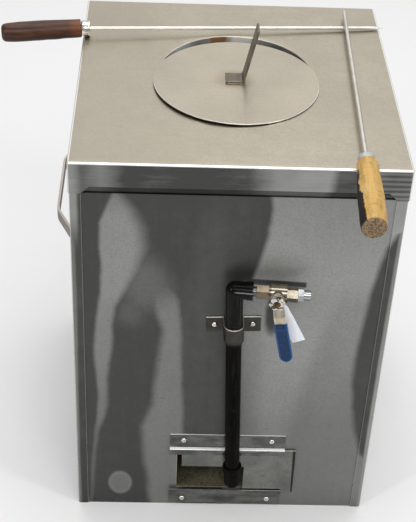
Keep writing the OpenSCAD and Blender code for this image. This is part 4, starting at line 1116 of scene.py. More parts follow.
def turned(name, start, direction, profile, maker, around=48, lump=0.0):
    """A piece turned round a line, from its distances along the line and its radii, with closed ends."""
    work = bmesh.new()
    rings = []
    for far, radius in profile:
        ring = []
        for out in spokes_round(direction, around):
            place = start + direction * far + out * radius
            ring.append(place + out * (lump * noise.noise(place * 60.0)))
        rings.append(ring)
    rows = loft(work, rings)
    for row, far in ((rows[0], profile[0][0]), (rows[-1], profile[-1][0])):
        close_end(work, row, start + direction * far)
    return add_piece(name, outward_mesh(name, work), maker, sharp=40.0)


def smooth_rise(value, low, high):
    """0 below low, 1 above high, and a smooth rise between them."""
    share = min(1.0, max(0.0, (value - low) / (high - low)))
    return share * share * (3 - 2 * share)


def rounded_frame(half_x, half_y, radius, marks, count, steps=5):
    """Points round a rectangle with rounded corners: place, outward direction, distance from the corner."""
    points = []
    corners = [(-half_x, -half_y), (half_x, -half_y), (half_x, half_y), (-half_x, half_y)]
    for i in range(4):
        start = Vector(corners[i])
        end = Vector(corners[(i + 1) % 4])
        run = (end - start).length
        ahead = (end - start) / run
        out = Vector((ahead.y, -ahead.x))
        near = [radius] + [mark for mark in marks if mark > radius]
        inner = run - 2 * near[-1]
        middle = [near[-1] + inner * k / count for k in range(1, count)]
        for far in near + middle + [run - mark for mark in reversed(near)]:
            points.append((start + ahead * far, out, min(far, run - far)))
        centre = end - ahead * radius - out * radius
        for k in range(1, steps):
            turn = math.radians(90 * k / steps)
            spoke = out * math.cos(turn) + ahead * math.sin(turn)
            points.append((centre + spoke * radius, spoke, 0.0))
    return points


def inset_ring(points, inset, height):
    """A ring set in from rounded_frame's points, at a height given by the distance from the corner."""
    return [Vector((*(place - out * inset), height(far))) for place, out, far in points]


def lid_mesh(sizes):
    """The lid's folded sheet, with its flue hole, tabbed skirt and locating lip."""
    half_x, half_y, top = LID_HIGH.x, LID_HIGH.y, LID_HIGH.z
    band_top = CASING_HIGH.z + sizes.band
    flue = Vector((0.0, (COLLAR_LOW.y + COLLAR_HIGH.y) / 2))
    flue_r = COLLAR_HIGH.x

    def foot(far):
        return CASING_HIGH.z + 0.3 * MM + min(sizes.band, max(0.0, far - (sizes.tab - sizes.band)))

    def up_skirt(share):
        return lambda far: foot(far) + (top - sizes.fold - foot(far)) * share

    marks = [10 * MM, sizes.tab - sizes.band, sizes.tab, 40 * MM]
    points = rounded_frame(half_x, half_y, radius=3.0 * MM, marks=marks, count=26)
    rings = []
    rings.append(inset_ring(points, 0.3 * MM, foot))
    for share in (0.01, 0.3, 0.6, 1.0):
        rings.append(inset_ring(points, 0.0, up_skirt(share)))
    for ring in rings[2:4]:
        for i, (place, out, far) in enumerate(points):
            dip = sizes.wave * 0.7 * smooth_rise(far, 0.02, 0.08) * abs(noise.noise(ring[i] * 9.0))
            ring[i] -= Vector((*out, 0.0)) * dip
    fold_steps = 6
    for k in range(1, fold_steps):
        turn = math.radians(90 * k / fold_steps)
        inset = sizes.fold * (1 - math.cos(turn))
        rings.append(inset_ring(points, inset, lambda far, t=turn: top - sizes.fold * (1 - math.sin(t))))
    edge = inset_ring(points, sizes.fold, lambda far: top)
    spokes = [(point.xy - flue).normalized() for point in edge]
    top_steps = 14
    for k in range(top_steps):
        share = k / top_steps
        ring = []
        for point, spoke in zip(edge, spokes):
            place = point.xy.lerp(flue + spoke * (flue_r + 0.8 * MM), share)
            dip = sizes.wave * 0.6 * math.sin(math.pi * share)
            dip *= abs(noise.noise(Vector((*place, 0.3)) * 6.0))
            ring.append(Vector((*place, top - dip)))
        rings.append(ring)
    for radius, height in ((0.8, 0.0), (0.25, -0.25), (0.0, -0.8), (0.0, -sizes.sheet / MM)):
        rings.append([Vector((*(flue + s * (flue_r + radius * MM)), top + height * MM)) for s in spokes])
    rings.append(inset_ring(points, sizes.sheet, lambda far: top - sizes.sheet))
    rings.append(inset_ring(points, sizes.sheet, foot))
    work = bmesh.new()
    loft(work, rings, closed=True)
    lip_x = PANEL_HIGH.x - sizes.lip_gap
    lip_y = -PANEL_HIGH.y - sizes.lip_gap
    shelf = band_top + sizes.sheet
    section = [
        (half_x - 0.4 * MM, half_y - 0.4 * MM, band_top + 0.2 * MM),
        (lip_x, lip_y, band_top + 0.2 * MM),
        (lip_x, lip_y, LID_LOW.z),
        (lip_x - sizes.sheet, lip_y - sizes.sheet, LID_LOW.z),
        (lip_x - sizes.sheet, lip_y - sizes.sheet, shelf),
        (half_x - 0.4 * MM, half_y - 0.4 * MM, shelf),
    ]
    lip = []
    for wide, deep, height in section:
        frame_points = rounded_frame(wide, deep, radius=1.5 * MM, marks=[], count=10)
        lip.append([Vector((*place, height)) for place, out, far in frame_points])
    loft(work, lip, closed=True)
    return outward_mesh("lid_sheet", work)


def wrapper_mesh(sizes):
    """The casing's bent sheet: two flanges, two sides and the back, a little wavy."""
    half = sizes.sheet / 2
    side = CASING_HIGH.x - half
    back = CASING_HIGH.y - half
    lip = CASING_HIGH.x - sizes.flange
    left = [Vector(spot) for spot in ((-lip, -back), (-side, -back), (-side, back))]
    right = [Vector(spot) for spot in ((side, back), (side, -back), (lip, -back))]
    corners = left + right
    radius = sizes.bend - half
    bend_steps = 6
    path = []
    for i, corner in enumerate(corners):
        if i in (0, len(corners) - 1):
            path.append(corner)
            continue
        came = (corner - corners[i - 1]).normalized()
        goes = (corners[i + 1] - corner).normalized()
        for k in range(bend_steps + 1):
            turn = math.radians(90 * k / bend_steps)
            bent = came * radius * math.sin(turn) - goes * radius * math.cos(turn)
            path.append(corner + (goes - came) * radius + bent)
    pitch = 18 * MM
    fine = []
    for start, end in zip(path, path[1:]):
        count = max(1, round((end - start).length / pitch))
        fine.extend(start.lerp(end, k / count) for k in range(count))
    fine.append(path[-1])
    outs = []
    for i in range(len(fine)):
        ahead = (fine[min(i + 1, len(fine) - 1)] - fine[max(i - 1, 0)]).normalized()
        outs.append(Vector((-ahead.y, ahead.x)) * -1.0)
    levels = 26
    rings = []
    for k in range(levels + 1):
        high = CASING_HIGH.z * k / levels
        hold = smooth_rise(high, 0.0, 0.06) * (1 - smooth_rise(high, CASING_HIGH.z - 0.06, CASING_HIGH.z))
        outer, inner = [], []
        for place, out in zip(fine, outs):
            wall = min(back - abs(place.y), 0.1) if abs(abs(place.x) - side) < MM else 0.0
            wall = wall or (min(side - abs(place.x), 0.1) if abs(place.y - back) < MM else 0.0)
            dip = sizes.wave * hold * smooth_rise(wall, 0.004, 0.07)
            dip *= abs(noise.noise(Vector((place.x * 7, place.y * 7, high * 5))))
            centre = place - out * dip
            outer.append(Vector((*(centre + out * half), high)))
            inner.append(Vector((*(centre - out * half), high)))
        rings.append(outer + inner[::-1])
    work = bmesh.new()
    rows = loft(work, rings)
    count = len(fine)
    for row in (rows[0], rows[-1]):
        for i in range(count - 1):
            work.faces.new((row[i], row[i + 1], row[2 * count - 2 - i], row[2 * count - 1 - i]))
    return outward_mesh("casing_sheet", work)


def cut_points(low, high, marks, pitch):
    """Places along a line that include the marks, no further apart than the pitch."""
    places = []
    stops = [low, *marks, high]
    for start, end in zip(stops, stops[1:]):
        count = max(1, math.ceil((end - start) / pitch))
        places.extend(start + (end - start) * k / count for k in range(count))
    return places + [high]


def panel_mesh(sizes):
    """The front panel's face with its burner port, drummed slightly in between its edges."""
    pitch = 14 * MM
    columns = cut_points(PANEL_LOW.x, PANEL_HIGH.x, [sizes.port_left, sizes.port_right], pitch)
    rows = cut_points(0.0, PANEL_HIGH.z, [sizes.port_foot, sizes.port_top], pitch)
    work = bmesh.new()
    grid = []
    for up in rows:
        line = []
        for across in columns:
            hold = smooth_rise(PANEL_HIGH.x - abs(across), 0.012, 0.09)
            hold *= smooth_rise(up, 0.13, 0.22) * (1 - smooth_rise(up, 0.5, PANEL_HIGH.z))
            swell = noise.noise(Vector((across * 6.5 + 3.1, 0.0, up * 3.2)))
            line.append(work.verts.new((across, PANEL_LOW.y + sizes.wave * hold * (0.5 + 0.5 * swell), up)))
        grid.append(line)
    for j in range(len(rows) - 1):
        for i in range(len(columns) - 1):
            middle_x = (columns[i] + columns[i + 1]) / 2
            middle_z = (rows[j] + rows[j + 1]) / 2
            in_port = sizes.port_left < middle_x < sizes.port_right
            if not (in_port and sizes.port_foot < middle_z < sizes.port_top):
                work.faces.new((grid[j][i], grid[j][i + 1], grid[j + 1][i + 1], grid[j + 1][i]))
    loose = [vertex for vertex in work.verts if not vertex.link_faces]
    bmesh.ops.delete(work, geom=loose, context="VERTS")
    bmesh.ops.solidify(work, geom=work.faces[:], thickness=sizes.sheet)
    return plain_mesh("front_sheet", work)


def disc_mesh(sizes):
    """The flue cover's disc, its front left edge warped up."""
    middle = Vector((0.0, (DISC_LOW.y + DISC_HIGH.y) / 2))
    radius = DISC_HIGH.x
    warm_side = math.radians(226)

    def warped(share, turn, height):
        lift = sizes.cover_lift * smooth_rise(share, 0.45, 1.0) * max(0.0, math.cos(turn - warm_side)) ** 1.4
        ripple = 0.25 * MM * math.sin(3 * turn + 0.6) * smooth_rise(share, 0.5, 1.0)
        spot = middle + Vector((math.cos(turn), math.sin(turn))) * radius * share
        return Vector((*spot, height + lift + max(0.0, ripple)))

    ease = 0.3 * MM
    steps = 12
    section = [(k / steps, DISC_HIGH.z) for k in range(1, steps)]
    section += [(1 - ease / radius, DISC_HIGH.z), (1.0, DISC_HIGH.z - ease), (1.0, DISC_LOW.z + ease)]
    section += [(1 - ease / radius, DISC_LOW.z)] + [(k / steps, DISC_LOW.z) for k in range(steps - 1, 0, -1)]
    around = 128
    turns = [2 * math.pi * i / around for i in range(around)]
    work = bmesh.new()
    rows = loft(work, [[warped(share, turn, height) for turn in turns] for share, height in section])
    for row, height in ((rows[0], DISC_HIGH.z), (rows[-1], DISC_LOW.z)):
        close_end(work, row, (*middle, height))
    return outward_mesh("cover_sheet", work)


def sleeve_mesh(sizes):
    """The lever's dipped sleeve: a rounded tip, a thick mouth and a long dish with a raised border."""
    out = Vector(JOINTS["valve_turn"]["axis"]).normalized()
    pivot, along, across = lever_frame()
    start, tip = reach_along("lever_sleeve", pivot, along)
    low_side, high_side = reach_along("lever_sleeve", pivot, across)
    back, front = reach_along("lever_sleeve", pivot, out)
    half = (high_side - low_side) / 2
    centre_side = (high_side + low_side) / 2
    centre_out = (front + back) / 2
    thick = (front - back) / 2
    bow = tip - half
    straight_steps, tip_steps, around = 30, 14, 40
    stations = [start + (bow - start) * k / straight_steps for k in range(straight_steps + 1)]
    stations += [bow + half * math.sin(math.radians(90 * k / tip_steps)) for k in range(1, tip_steps)]
    work = bmesh.new()
    rings = []
    for far in stations:
        wide = half if far <= bow else math.sqrt(max(0.0, half * half - (far - bow) ** 2))
        mouth = 1 - smooth_rise(far - start, 0.0, 1.2 * MM)
        grow = 1.0 - 0.12 * mouth
        ring = []
        for i in range(around):
            turn = 2 * math.pi * i / around
            flat = math.copysign(abs(math.cos(turn)) ** 0.45, math.cos(turn))
            lift = math.copysign(abs(math.sin(turn)) ** 0.5, math.sin(turn))
            side = wide * flat * grow
            rim = min(wide - abs(side), tip - far)
            dish = smooth_rise(rim, 1.6 * MM, 2.8 * MM) * smooth_rise(far - start, 9.0 * MM, 10.5 * MM)
            ridge = smooth_rise(far - start, 5.0 * MM, 5.8 * MM)
            ridge *= 1 - smooth_rise(far - start, 7.6 * MM, 8.4 * MM)
            rise = thick * lift * grow
            if lift > 0:
                rise += (ridge * 0.5 * MM - dish * sizes.sleeve_dish) * smooth_rise(lift, 0.3, 0.9)
            ring.append(pivot + along * far + across * (centre_side + side) + out * (centre_out + rise))
        rings.append(ring)
    rows = loft(work, rings)
    for row in (rows[0], rows[-1]):
        work.faces.new(row)
    return outward_mesh("lever_sleeve_vinyl", work)


def tag_mesh():
    """The blank card tag, bowed a little between its neck and its foot."""
    joint = JOINTS["valve_turn"]
    pivot = Vector(joint["pos_m"])
    out = Vector(joint["axis"]).normalized()
    work = merged_copy("paper_tag")
    bmesh.ops.triangulate(work, faces=work.faces)
    for _ in range(3):
        long_edges = [edge for edge in work.edges if edge.calc_length() > 5 * MM]
        bmesh.ops.subdivide_edges(work, edges=long_edges, cuts=1)
        bmesh.ops.triangulate(work, faces=work.faces)
    for vertex in work.verts:
        flat = vertex.co - pivot
        flat -= out * flat.dot(out)
        share = smooth_rise(flat.length, 12 * MM, 60 * MM)
        vertex.co -= out * (2.2 * MM * share * (1.6 - share))
    return plain_mesh("paper_tag_card", work)


class Recipe(Nodes):
    """A geometry node tree with named inputs."""

    def __init__(self, name, inputs):
        super().__init__(bpy.data.node_groups.new(name, "GeometryNodeTree"))
        panel = self.tree.interface
        panel.new_socket("Geometry", in_out="INPUT", socket_type="NodeSocketGeometry")
        for label, kind, default in inputs:
            socket = panel.new_socket(label, in_out="INPUT", socket_type=kind)
            if default is not None:
                socket.default_value = default
        panel.new_socket("Geometry", in_out="OUTPUT", socket_type="NodeSocketGeometry")
        self.given = self.add("NodeGroupInput", {}, {}, "Geometry")

    def close(self, geometry):
        """Ends the tree: real geometry, smooth, in its material."""
        real = self.add("GeometryNodeRealizeInstances", {}, {0: geometry})
        smooth = self.add("GeometryNodeSetShadeSmooth", {}, {0: real})
        sockets = {"Geometry": smooth, "Material": self.given.other("Material")}
        dressed = self.add("GeometryNodeSetMaterial", {}, sockets)
        self.add_output(dressed)

    def add_output(self, geometry):
        node = self.tree.nodes.new("NodeGroupOutput")
        self.feed(node.inputs[0], geometry)

    def vector(self, *parts):
        return self.add("ShaderNodeCombineXYZ", {}, dict(enumerate(parts)))

    def chance(self, low, high):
        """A number by chance for each point, from the seed."""
        sockets = {2: low, 3: high, 8: self.given.other("Seed")}
        return self.add("FunctionNodeRandomValue", {"data_type": "FLOAT"}, sockets, 1)

    def make(self, name, places, maker, values):
        """A plain mesh piece that the tree makes from points."""
        seed = bpy.data.meshes.new(name)
        seed.from_pydata(places, [], [])
        piece = bpy.data.objects.new(name, seed)
        bpy.context.scene.collection.objects.link(piece)
        modifier = piece.modifiers.new("Recipe", "NODES")
        modifier.node_group = self.tree
        items = self.tree.interface.items_tree
        sockets = {item.name: item.identifier for item in items if item.in_out == "INPUT"}
        for label, value in values.items():
            modifier[sockets[label]] = value
        modifier[sockets["Material"]] = finish_of(maker)
        piece.update_tag()
        graph = bpy.context.evaluated_depsgraph_get()
        made = bpy.data.meshes.new_from_object(piece.evaluated_get(graph))
        piece.modifiers.remove(modifier)
        piece.data = made
        made.name = name
        made.materials.clear()
        made.materials.append(finish_of(maker))
        for face in made.polygons:
            face.material_index = 0
        if not made.polygons:
            raise RuntimeError("no faces came out for " + name)
        made.set_sharp_from_angle(angle=math.radians(35))
        return piece


def head_recipe():
    """Domed screw or rivet heads on points, each turned by chance, with a cross slot if asked for."""
    inputs = [
        ("Head radius", "NodeSocketFloat", 4.0 * MM),
        ("Head height", "NodeSocketFloat", 3.0 * MM),
        ("Slot width", "NodeSocketFloat", 0.9 * MM),
        ("Slot depth", "NodeSocketFloat", 1.2 * MM),
        ("Slotted", "NodeSocketBool", True),
        ("Turn", "NodeSocketRotation", None),
        ("Seed", "NodeSocketInt", 7),
        ("Material", "NodeSocketMaterial", None),
    ]
    tree = Recipe("Screw heads", inputs)
    given = tree.given
    ball = tree.add("GeometryNodeMeshUVSphere", {}, {"Segments": 28, "Rings": 18, "Radius": 1.0})
    radius, height = given.other("Head radius"), given.other("Head height")
    slot, depth = given.other("Slot width"), given.other("Slot depth")
    scale = tree.vector(radius, radius, height)
    dome = tree.add("GeometryNodeTransform", {}, {"Geometry": ball, "Scale": scale})
    raised = tree.vector(0.0, 0.0, height)
    slotted = dome
    for wide, deep in ((radius * 1.1, slot), (slot, radius * 1.1)):
        bar = tree.add("GeometryNodeMeshCube", {}, {"Size": tree.vector(wide, deep, depth * 2.0)})
        bar = tree.add("GeometryNodeTransform", {}, {"Geometry": bar, "Translation": raised})
        cut = {"operation": "DIFFERENCE", "solver": "EXACT"}
        slotted = tree.add("GeometryNodeMeshBoolean", cut, {"Mesh 1": slotted, "Mesh 2": bar})
    choice = {"Switch": given.other("Slotted"), "False": dome, "True": slotted}
    head = tree.add("GeometryNodeSwitch", {"input_type": "GEOMETRY"}, choice)
    sockets = {"Points": given, "Instance": head, "Rotation": given.other("Turn")}
    heads = tree.add("GeometryNodeInstanceOnPoints", {}, sockets)
    spin = tree.vector(0.0, 0.0, tree.chance(0.0, 3.1))
    sockets = {"Instances": heads, "Rotation": spin, "Local Space": True}
    tree.close(tree.add("GeometryNodeRotateInstances", {}, sockets))
    return tree


def bead_recipe():
    """A weld: small flattened beads on points, each a little different."""
    inputs = [
        ("Bead radius", "NodeSocketFloat", 1.2 * MM),
        ("Seed", "NodeSocketInt", 3),
        ("Material", "NodeSocketMaterial", None),
    ]
    tree = Recipe("Weld beads", inputs)
    given = tree.given
    sockets = {"Radius": given.other("Bead radius"), "Subdivisions": 2}
    ball = tree.add("GeometryNodeMeshIcoSphere", {}, sockets)
    flat = tree.add("GeometryNodeTransform", {}, {"Geometry": ball, "Scale": (1.25, 1.0, 0.7)})
    sockets = {"Points": given, "Instance": flat, "Scale": tree.chance(0.75, 1.2)}
    tree.close(tree.add("GeometryNodeInstanceOnPoints", {}, sockets))
    return tree


class KilnOperator(bpy.types.Operator):
    """Shared by the kiln's operators."""

    bl_options = {"REGISTER", "UNDO"}

    def execute(self, context):
        self.build(context.scene.kiln_sizes)
        return {"FINISHED"}


class KILN_OT_stage(KilnOperator):
    """Lays the floor, hangs the lights and sets the camera"""

    bl_idname = "kiln.stage"
    bl_label = "Stage"

    def build(self, sizes):
        scene = bpy.context.scene
        stage = scene.kiln_stage
        scene.view_settings.view_transform = "Standard"
        self.lay_floor()
        world = bpy.data.worlds.new("soft_sky")
        world.use_nodes = True
        sky = world.node_tree.nodes["Background"]
        sky.inputs["Color"].default_value = (1.0, 1.0, 1.0, 1.0)
        sky.inputs["Strength"].default_value = stage.sky
        scene.world = world
        self.hang("top_light", (0.1, 0.5, 3.2), (0.0, 0.0, 0.0), (2.4, 2.4), stage.top)
        self.hang("back_light", (0.0, 3.6, 2.6), (0.0, 0.0, 0.6), (5.0, 3.0), stage.back)
        self.hang("front_light", (0.3, -2.8, 3.0), (0.0, -0.7, 0.0), (2.4, 1.2), stage.front)
        self.hang("left_light", (-1.6, -1.5, 1.5), (0.0, -0.2, 0.45), (0.25, 1.4), stage.side)
        self.hang("right_light", (1.7, -1.2, 1.7), (0.0, -0.2, 0.45), (0.25, 1.4), stage.side)
        self.set_camera(stage.lens)

    def lay_floor(self):
        work = bmesh.new()
        bmesh.ops.create_grid(work, x_segments=8, y_segments=8, size=9.0)
        floor = add_piece("floor", plain_mesh("floor", work), pale_floor)

    def hang(self, name, place, aim, size, power):
        lamp = bpy.data.lights.new(name, "AREA")
        lamp.shape = "RECTANGLE"
        lamp.size = size[0]
        lamp.size_y = size[1]
        lamp.energy = power
        light = bpy.data.objects.new(name, lamp)
        light.location = place
        light.rotation_euler = (Vector(aim) - Vector(place)).to_track_quat("-Z", "Y").to_euler()
        bpy.context.scene.collection.objects.link(light)

    def set_camera(self, lens):
        turn = Matrix.Rotation(CAMERA_YAW, 3, "Z") @ Matrix.Rotation(CAMERA_PITCH, 3, "X")
        turn = turn @ Matrix.Rotation(CAMERA_ROLL, 3, "Y")
        right, ahead, up = (turn.col[i] for i in range(3))
        pose = Matrix((right, up, -ahead)).transposed().to_4x4()
        pose.translation = CAMERA_PLACE
        camera = bpy.data.objects.new("camera", bpy.data.cameras.new("camera"))
        camera.data.lens = lens
        camera.data.sensor_width = SENSOR_WIDTH
        camera.data.clip_end = 50.0
        camera.matrix_world = pose
        bpy.context.scene.collection.objects.link(camera)
        bpy.context.scene.camera = camera


class KILN_OT_casing(KilnOperator):
    """Makes the wrapped casing, the front panel and the base pan"""

    bl_idname = "kiln.casing"
    bl_label = "Casing"

    def build(self, sizes):
        dress("casing_wrapper", "casing_bent_sheet", wrapper_mesh(sizes), casing_sheet, sharp=40.0)
        dress("front_panel", "front_panel_sheet", panel_mesh(sizes), panel_sheet, sharp=40.0)
        eased("base_pan", 0.4 * MM, casing_sheet)


class KILN_OT_lining(KilnOperator):
    """Makes the insulating boards, their anchors and the kiln furniture"""

    bl_idname = "kiln.lining"
    bl_label = "Lining and furniture"

    def build(self, sizes):
        boards = ("floor_slab", "lining_front", "lining_back", "lining_left", "lining_right", "lid_lining")
        for node in boards:
            eased(node, 1.2 * MM, fibre_board)
        for node in ("wall_anchors", "lid_anchors", "kiln_shelf", "shelf_posts"):
            eased(node, 1.0 * MM, kiln_ceramic)


class KILN_OT_lid(KilnOperator):
    """Makes the folded lid and the collar of its flue"""

    bl_idname = "kiln.lid"
    bl_label = "Lid"

    def build(self, sizes):
        dress("lid_shell", "lid_folded_sheet", lid_mesh(sizes), lid_sheet, sharp=40.0)
        eased("flue_collar", 0.35 * MM, collar_sheet)


class KILN_OT_flue_cover(KilnOperator):
    """Makes the loose flue cover, its strip handle and the weld between them"""

    bl_idname = "kiln.flue_cover"
    bl_label = "Flue cover"

    def build(self, sizes):
        dress("cover_disc", "cover_warped_disc", disc_mesh(sizes), cover_sheet, sharp=40.0)
        eased("cover_handle", 0.7 * MM, strip_steel, steps=3)
        low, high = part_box("cover_handle")
        foot = DISC_HIGH.z
        bend = low.x + 24 * MM
        level = foot + 0.3 * MM
        run = bend - low.x - 3 * MM
        wide = high.y - low.y - 2 * MM
        places = [(low.x + 3 * MM + run * k / 11, low.y - 0.2 * MM, level) for k in range(12)]
        places += [(bend + 0.8 * MM, low.y + 1 * MM + wide * k / 12, level) for k in range(13)]
        weld = bead_recipe().make("cover_weld", places, strip_steel, {"Bead radius": 1.5 * MM, "Seed": 5})
        settle(weld, BODY_OF["cover_handle"], SLOT_OF["cover_handle"])


class KILN_OT_carry_handles(KilnOperator):
    """Makes the two strap handles"""

    bl_idname = "kiln.carry_handles"
    bl_label = "Carry handles"

    def build(self, sizes):
        for node in ("handle_left", "handle_right"):
            eased(node, 0.7 * MM, strap_steel, steps=3)


class KILN_OT_gate(KilnOperator):
    """Makes the air gate and its rails"""

    bl_idname = "kiln.gate"
    bl_label = "Air gate"

    def build(self, sizes):
        for node in ("top_rail", "bottom_rail"):
            eased(node, 0.3 * MM, rail_steel)
        eased("air_gate", 0.35 * MM, gate_sheet)


class KILN_OT_riser(KilnOperator):
    """Makes the black gas riser, its clamp and the burner"""

    bl_idname = "kiln.riser"
    bl_label = "Gas riser"

    def build(self, sizes):
        eased("upper_elbow", 1.1 * MM, elbow_iron, steps=3)
        work = merged_copy("lower_elbow")
        self.collar(work, sizes.collar)
        piece = add_piece("lower_elbow_eased", plain_mesh("lower_elbow_eased", work), black_iron)
        bevel(piece, 0.6 * MM, steps=3)
        stand_for(piece, "lower_elbow")
        for node in ("riser_pipe", "burner_tube", "burner_nozzle"):
            eased(node, 0.5 * MM, black_iron)
        eased("pipe_clamp", 0.45 * MM, clamp_steel)
        eased("gas_jet", 0.3 * MM, nickel_plate)

    def collar(self, work, rise):
        """Adds a raised ring round the mouth that takes the riser."""
        middle, along = surface_axis("riser_pipe")
        if along.z < 0:
            along = -along
        mouth = reach_along("lower_elbow", middle, along)[1]
        across = along.cross(Vector((0.0, 1.0, 0.0))).normalized()
        low, high = reach_along("lower_elbow", middle, across)
        radius = (high - low) / 2
        profile = [(-6.5 * MM, -0.6 * MM), (-6.5 * MM, 0.4 * MM), (-5.4 * MM, rise), (-0.8 * MM, rise)]
        profile += [(0.3 * MM, 0.4 * MM), (0.3 * MM, -0.6 * MM)]
        rings = []
        for far, out in profile:
            base = middle + along * (mouth + far)
            rings.append([base + spoke * (radius + out) for spoke in spokes_round(along, 48)])
        loft(work, rings, closed=True)
        bmesh.ops.recalc_face_normals(work, faces=work.faces)


class KILN_OT_valve(KilnOperator):
    """Makes the lever valve, its sleeve and its tag"""

    bl_idname = "kiln.valve"
    bl_label = "Valve"

    def build(self, sizes):
        for node in ("valve_end", "valve_body"):
            eased(node, 0.6 * MM, nickel_plate, steps=3)
        eased("valve_stem", 0.5 * MM, stem_brass, steps=3)
        eased("lever_nut", 0.5 * MM, nut_chrome, steps=3)
        for node in ("close_nipple", "gas_nipple"):
            eased(node, 0.5 * MM, zinc_plate, steps=3)
        for node in ("packing_nut", "valve_ball"):
            eased(node, 0.5 * MM, bright_steel, steps=3)
        eased("valve_lever", 0.4 * MM, lever_plate)
        eased("valve_seats", 0.2 * MM, seat_plastic)
        dress("lever_sleeve", "lever_sleeve_vinyl", sleeve_mesh(sizes), blue_vinyl, sharp=50.0)
        dress("paper_tag", "paper_tag_card", tag_mesh(), blank_card)


class KILN_OT_fasteners(KilnOperator):
    """Makes the screw and rivet heads"""

    bl_idname = "kiln.fasteners"
    bl_label = "Screws and rivets"

    def build(self, sizes):
        heads = head_recipe()
        for node in ("rail_screws", "clamp_screws"):
            boxes = solids_in(node)
            wide = (boxes[0][1].x - boxes[0][0].x) / 2
            places = [
                ((low.x + high.x) / 2, low.y + HEAD_HEIGHT, (low.z + high.z) / 2) for low, high in boxes
            ]
            values = {
                "Head radius": wide, "Head height": HEAD_HEIGHT, "Slot width": sizes.head_slot,
                "Slot depth": 1.1 * MM, "Slotted": True, "Turn": (math.radians(90), 0.0, 0.0), "Seed": 11,
            }
            stand_for(heads.make(node + "_heads", places, bright_steel, values), node)
        self.rivets(heads)

    def rivets(self, heads):
        boxes = solids_in("handle_rivets")
        halves = []
        for side in (-1, 1):
            group = [box for box in boxes if (box[0].x + box[1].x) * side > 0]
            wide = (group[0][1].z - group[0][0].z) / 2
            outer = [high.x if side > 0 else low.x for low, high in group]
            places = [
                (face - side * HEAD_HEIGHT, (low.y + high.y) / 2, (low.z + high.z) / 2)
                for face, (low, high) in zip(outer, group)
            ]
            values = {
                "Head radius": wide, "Head height": HEAD_HEIGHT, "Slotted": False,
                "Turn": (0.0, math.radians(90 * side), 0.0), "Seed": 2,
            }
            halves.append(heads.make("handle_rivet_heads", places, bright_steel, values))
        work = bmesh.new()
        for piece in halves:
            work.from_mesh(piece.data)
            bpy.data.objects.remove(piece)
        mesh = plain_mesh("handle_rivets_heads", work)
        dress("handle_rivets", "handle_rivets_heads", mesh, bright_steel)


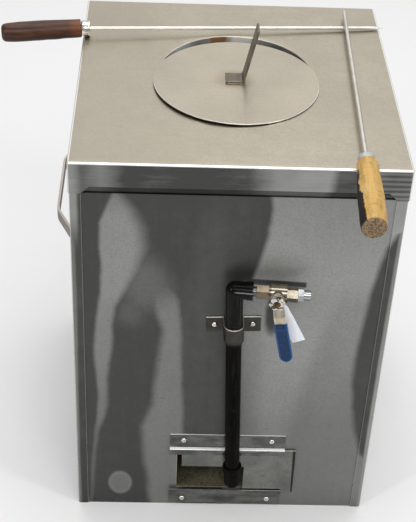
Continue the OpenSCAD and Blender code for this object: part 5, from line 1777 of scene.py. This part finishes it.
class KILN_OT_pokers(KilnOperator):
    """Makes the two pokers with their ferrules and turned handles"""

    bl_idname = "kiln.pokers"
    bl_label = "Pokers"

    def build(self, sizes):
        makers = (
            ("side", bright_steel, dark_wood, 0.08, 7 * MM),
            ("front", ferrule_zinc, light_wood, 0.06, 3.4 * MM),
        )
        for side, metal, wood, drop, corner in makers:
            eased(side + "_poker_rod", 0.2 * MM, rod_steel)
            self.ferrule(side + "_poker_ferrule", side + "_poker_grip", metal)
            self.grip(side + "_poker_grip", side + "_poker_ferrule", wood, drop, corner)

    def line(self, node, mate):
        """A solid's line, pointing away from its mate, with its start and its length."""
        middle, along = surface_axis(node)
        if (middle - surface_axis(mate)[0]).dot(along) < 0:
            along = -along
        near, far = reach_along(node, middle, along)
        return middle + along * near, along, far - near

    def ferrule(self, node, mate, maker):
        middle = sum(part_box(node), Vector()) / 2
        away = surface_axis(mate.replace("grip", "rod"))[1]
        if (surface_axis(mate)[0] - middle).dot(away) < 0:
            away = -away
        near, far = reach_along(node, middle, away)
        long = far - near
        spokes = [(v.co - middle) - away * (v.co - middle).dot(away) for v in NODES[node].data.vertices]
        radius = max(spoke.length for spoke in spokes)
        groove = radius - 0.45 * MM
        profile = [
            (0.0, radius * 0.5), (0.0, radius - 1.2 * MM), (0.35 * MM, radius - 0.4 * MM), (1.2 * MM, radius),
            (3.4 * MM, radius), (3.9 * MM, groove), (4.6 * MM, groove), (5.1 * MM, radius),
            (long - 0.6 * MM, radius), (long - 0.15 * MM, radius - 0.3 * MM), (long, radius - 0.7 * MM),
        ]
        stand_for(turned(node + "_crimped", middle + away * near, away, profile, maker), node)

    def grip(self, node, mate, maker, drop, corner):
        start, away, long = self.line(node, mate)
        radii = []
        for vertex in NODES[node].data.vertices:
            spoke = vertex.co - start
            radii.append((spoke.dot(away) / long, (spoke - away * spoke.dot(away)).length))
        neck = max(radius for share, radius in radii if share < 0.06)
        end = max(radius for share, radius in radii)
        profile = []
        side_steps, end_steps = 36, 8
        for k in range(side_steps + 1):
            share = k / side_steps
            swell = math.sin(math.radians(90 * min(1.0, share * 1.4)))
            radius = neck + (end - neck) * swell - end * drop * share ** 14
            profile.append((share * (long - corner), radius))
        last = profile[-1][1]
        for k in range(1, end_steps + 1):
            angle = math.radians(90 * k / end_steps)
            reach = long - corner + corner * math.sin(angle)
            profile.append((reach, last - (1 - math.cos(angle)) * corner * 0.9))
        stand_for(turned(node + "_turned", start, away, profile, maker, around=64, lump=0.5 * MM), node)


class KILN_PT_panel(bpy.types.Panel):
    """Lists the kiln's sizes, colours and pieces"""

    bl_idname = "KILN_PT_panel"
    bl_label = "Pottery kiln"
    bl_space_type = "VIEW_3D"
    bl_region_type = "UI"
    bl_category = "Kiln"

    def draw(self, context):
        layout = self.layout
        for group in (context.scene.kiln_sizes, context.scene.kiln_colours, context.scene.kiln_stage):
            column = layout.column(align=True)
            for name in group.__annotations__:
                column.prop(group, name)
        for step in STEPS:
            layout.operator(step.bl_idname)


GROUPS = {"kiln_sizes": KilnSizes, "kiln_colours": KilnColours, "kiln_stage": KilnStage}
STEPS = (
    KILN_OT_stage,
    KILN_OT_casing,
    KILN_OT_lining,
    KILN_OT_lid,
    KILN_OT_flue_cover,
    KILN_OT_carry_handles,
    KILN_OT_gate,
    KILN_OT_riser,
    KILN_OT_valve,
    KILN_OT_fasteners,
    KILN_OT_pokers,
)


def register():
    for group in GROUPS.values():
        bpy.utils.register_class(group)
    for step in (*STEPS, KILN_PT_panel):
        bpy.utils.register_class(step)
    for name, group in GROUPS.items():
        setattr(bpy.types.Scene, name, PointerProperty(type=group))


def unregister():
    for name in GROUPS:
        delattr(bpy.types.Scene, name)
    for step in (KILN_PT_panel, *reversed(STEPS)):
        bpy.utils.unregister_class(step)
    for group in reversed(GROUPS.values()):
        bpy.utils.unregister_class(group)


def main():
    register()
    for step in STEPS:
        family, name = step.bl_idname.split(".")
        getattr(getattr(bpy.ops, family), name)()


if __name__ == "__main__":
    main()
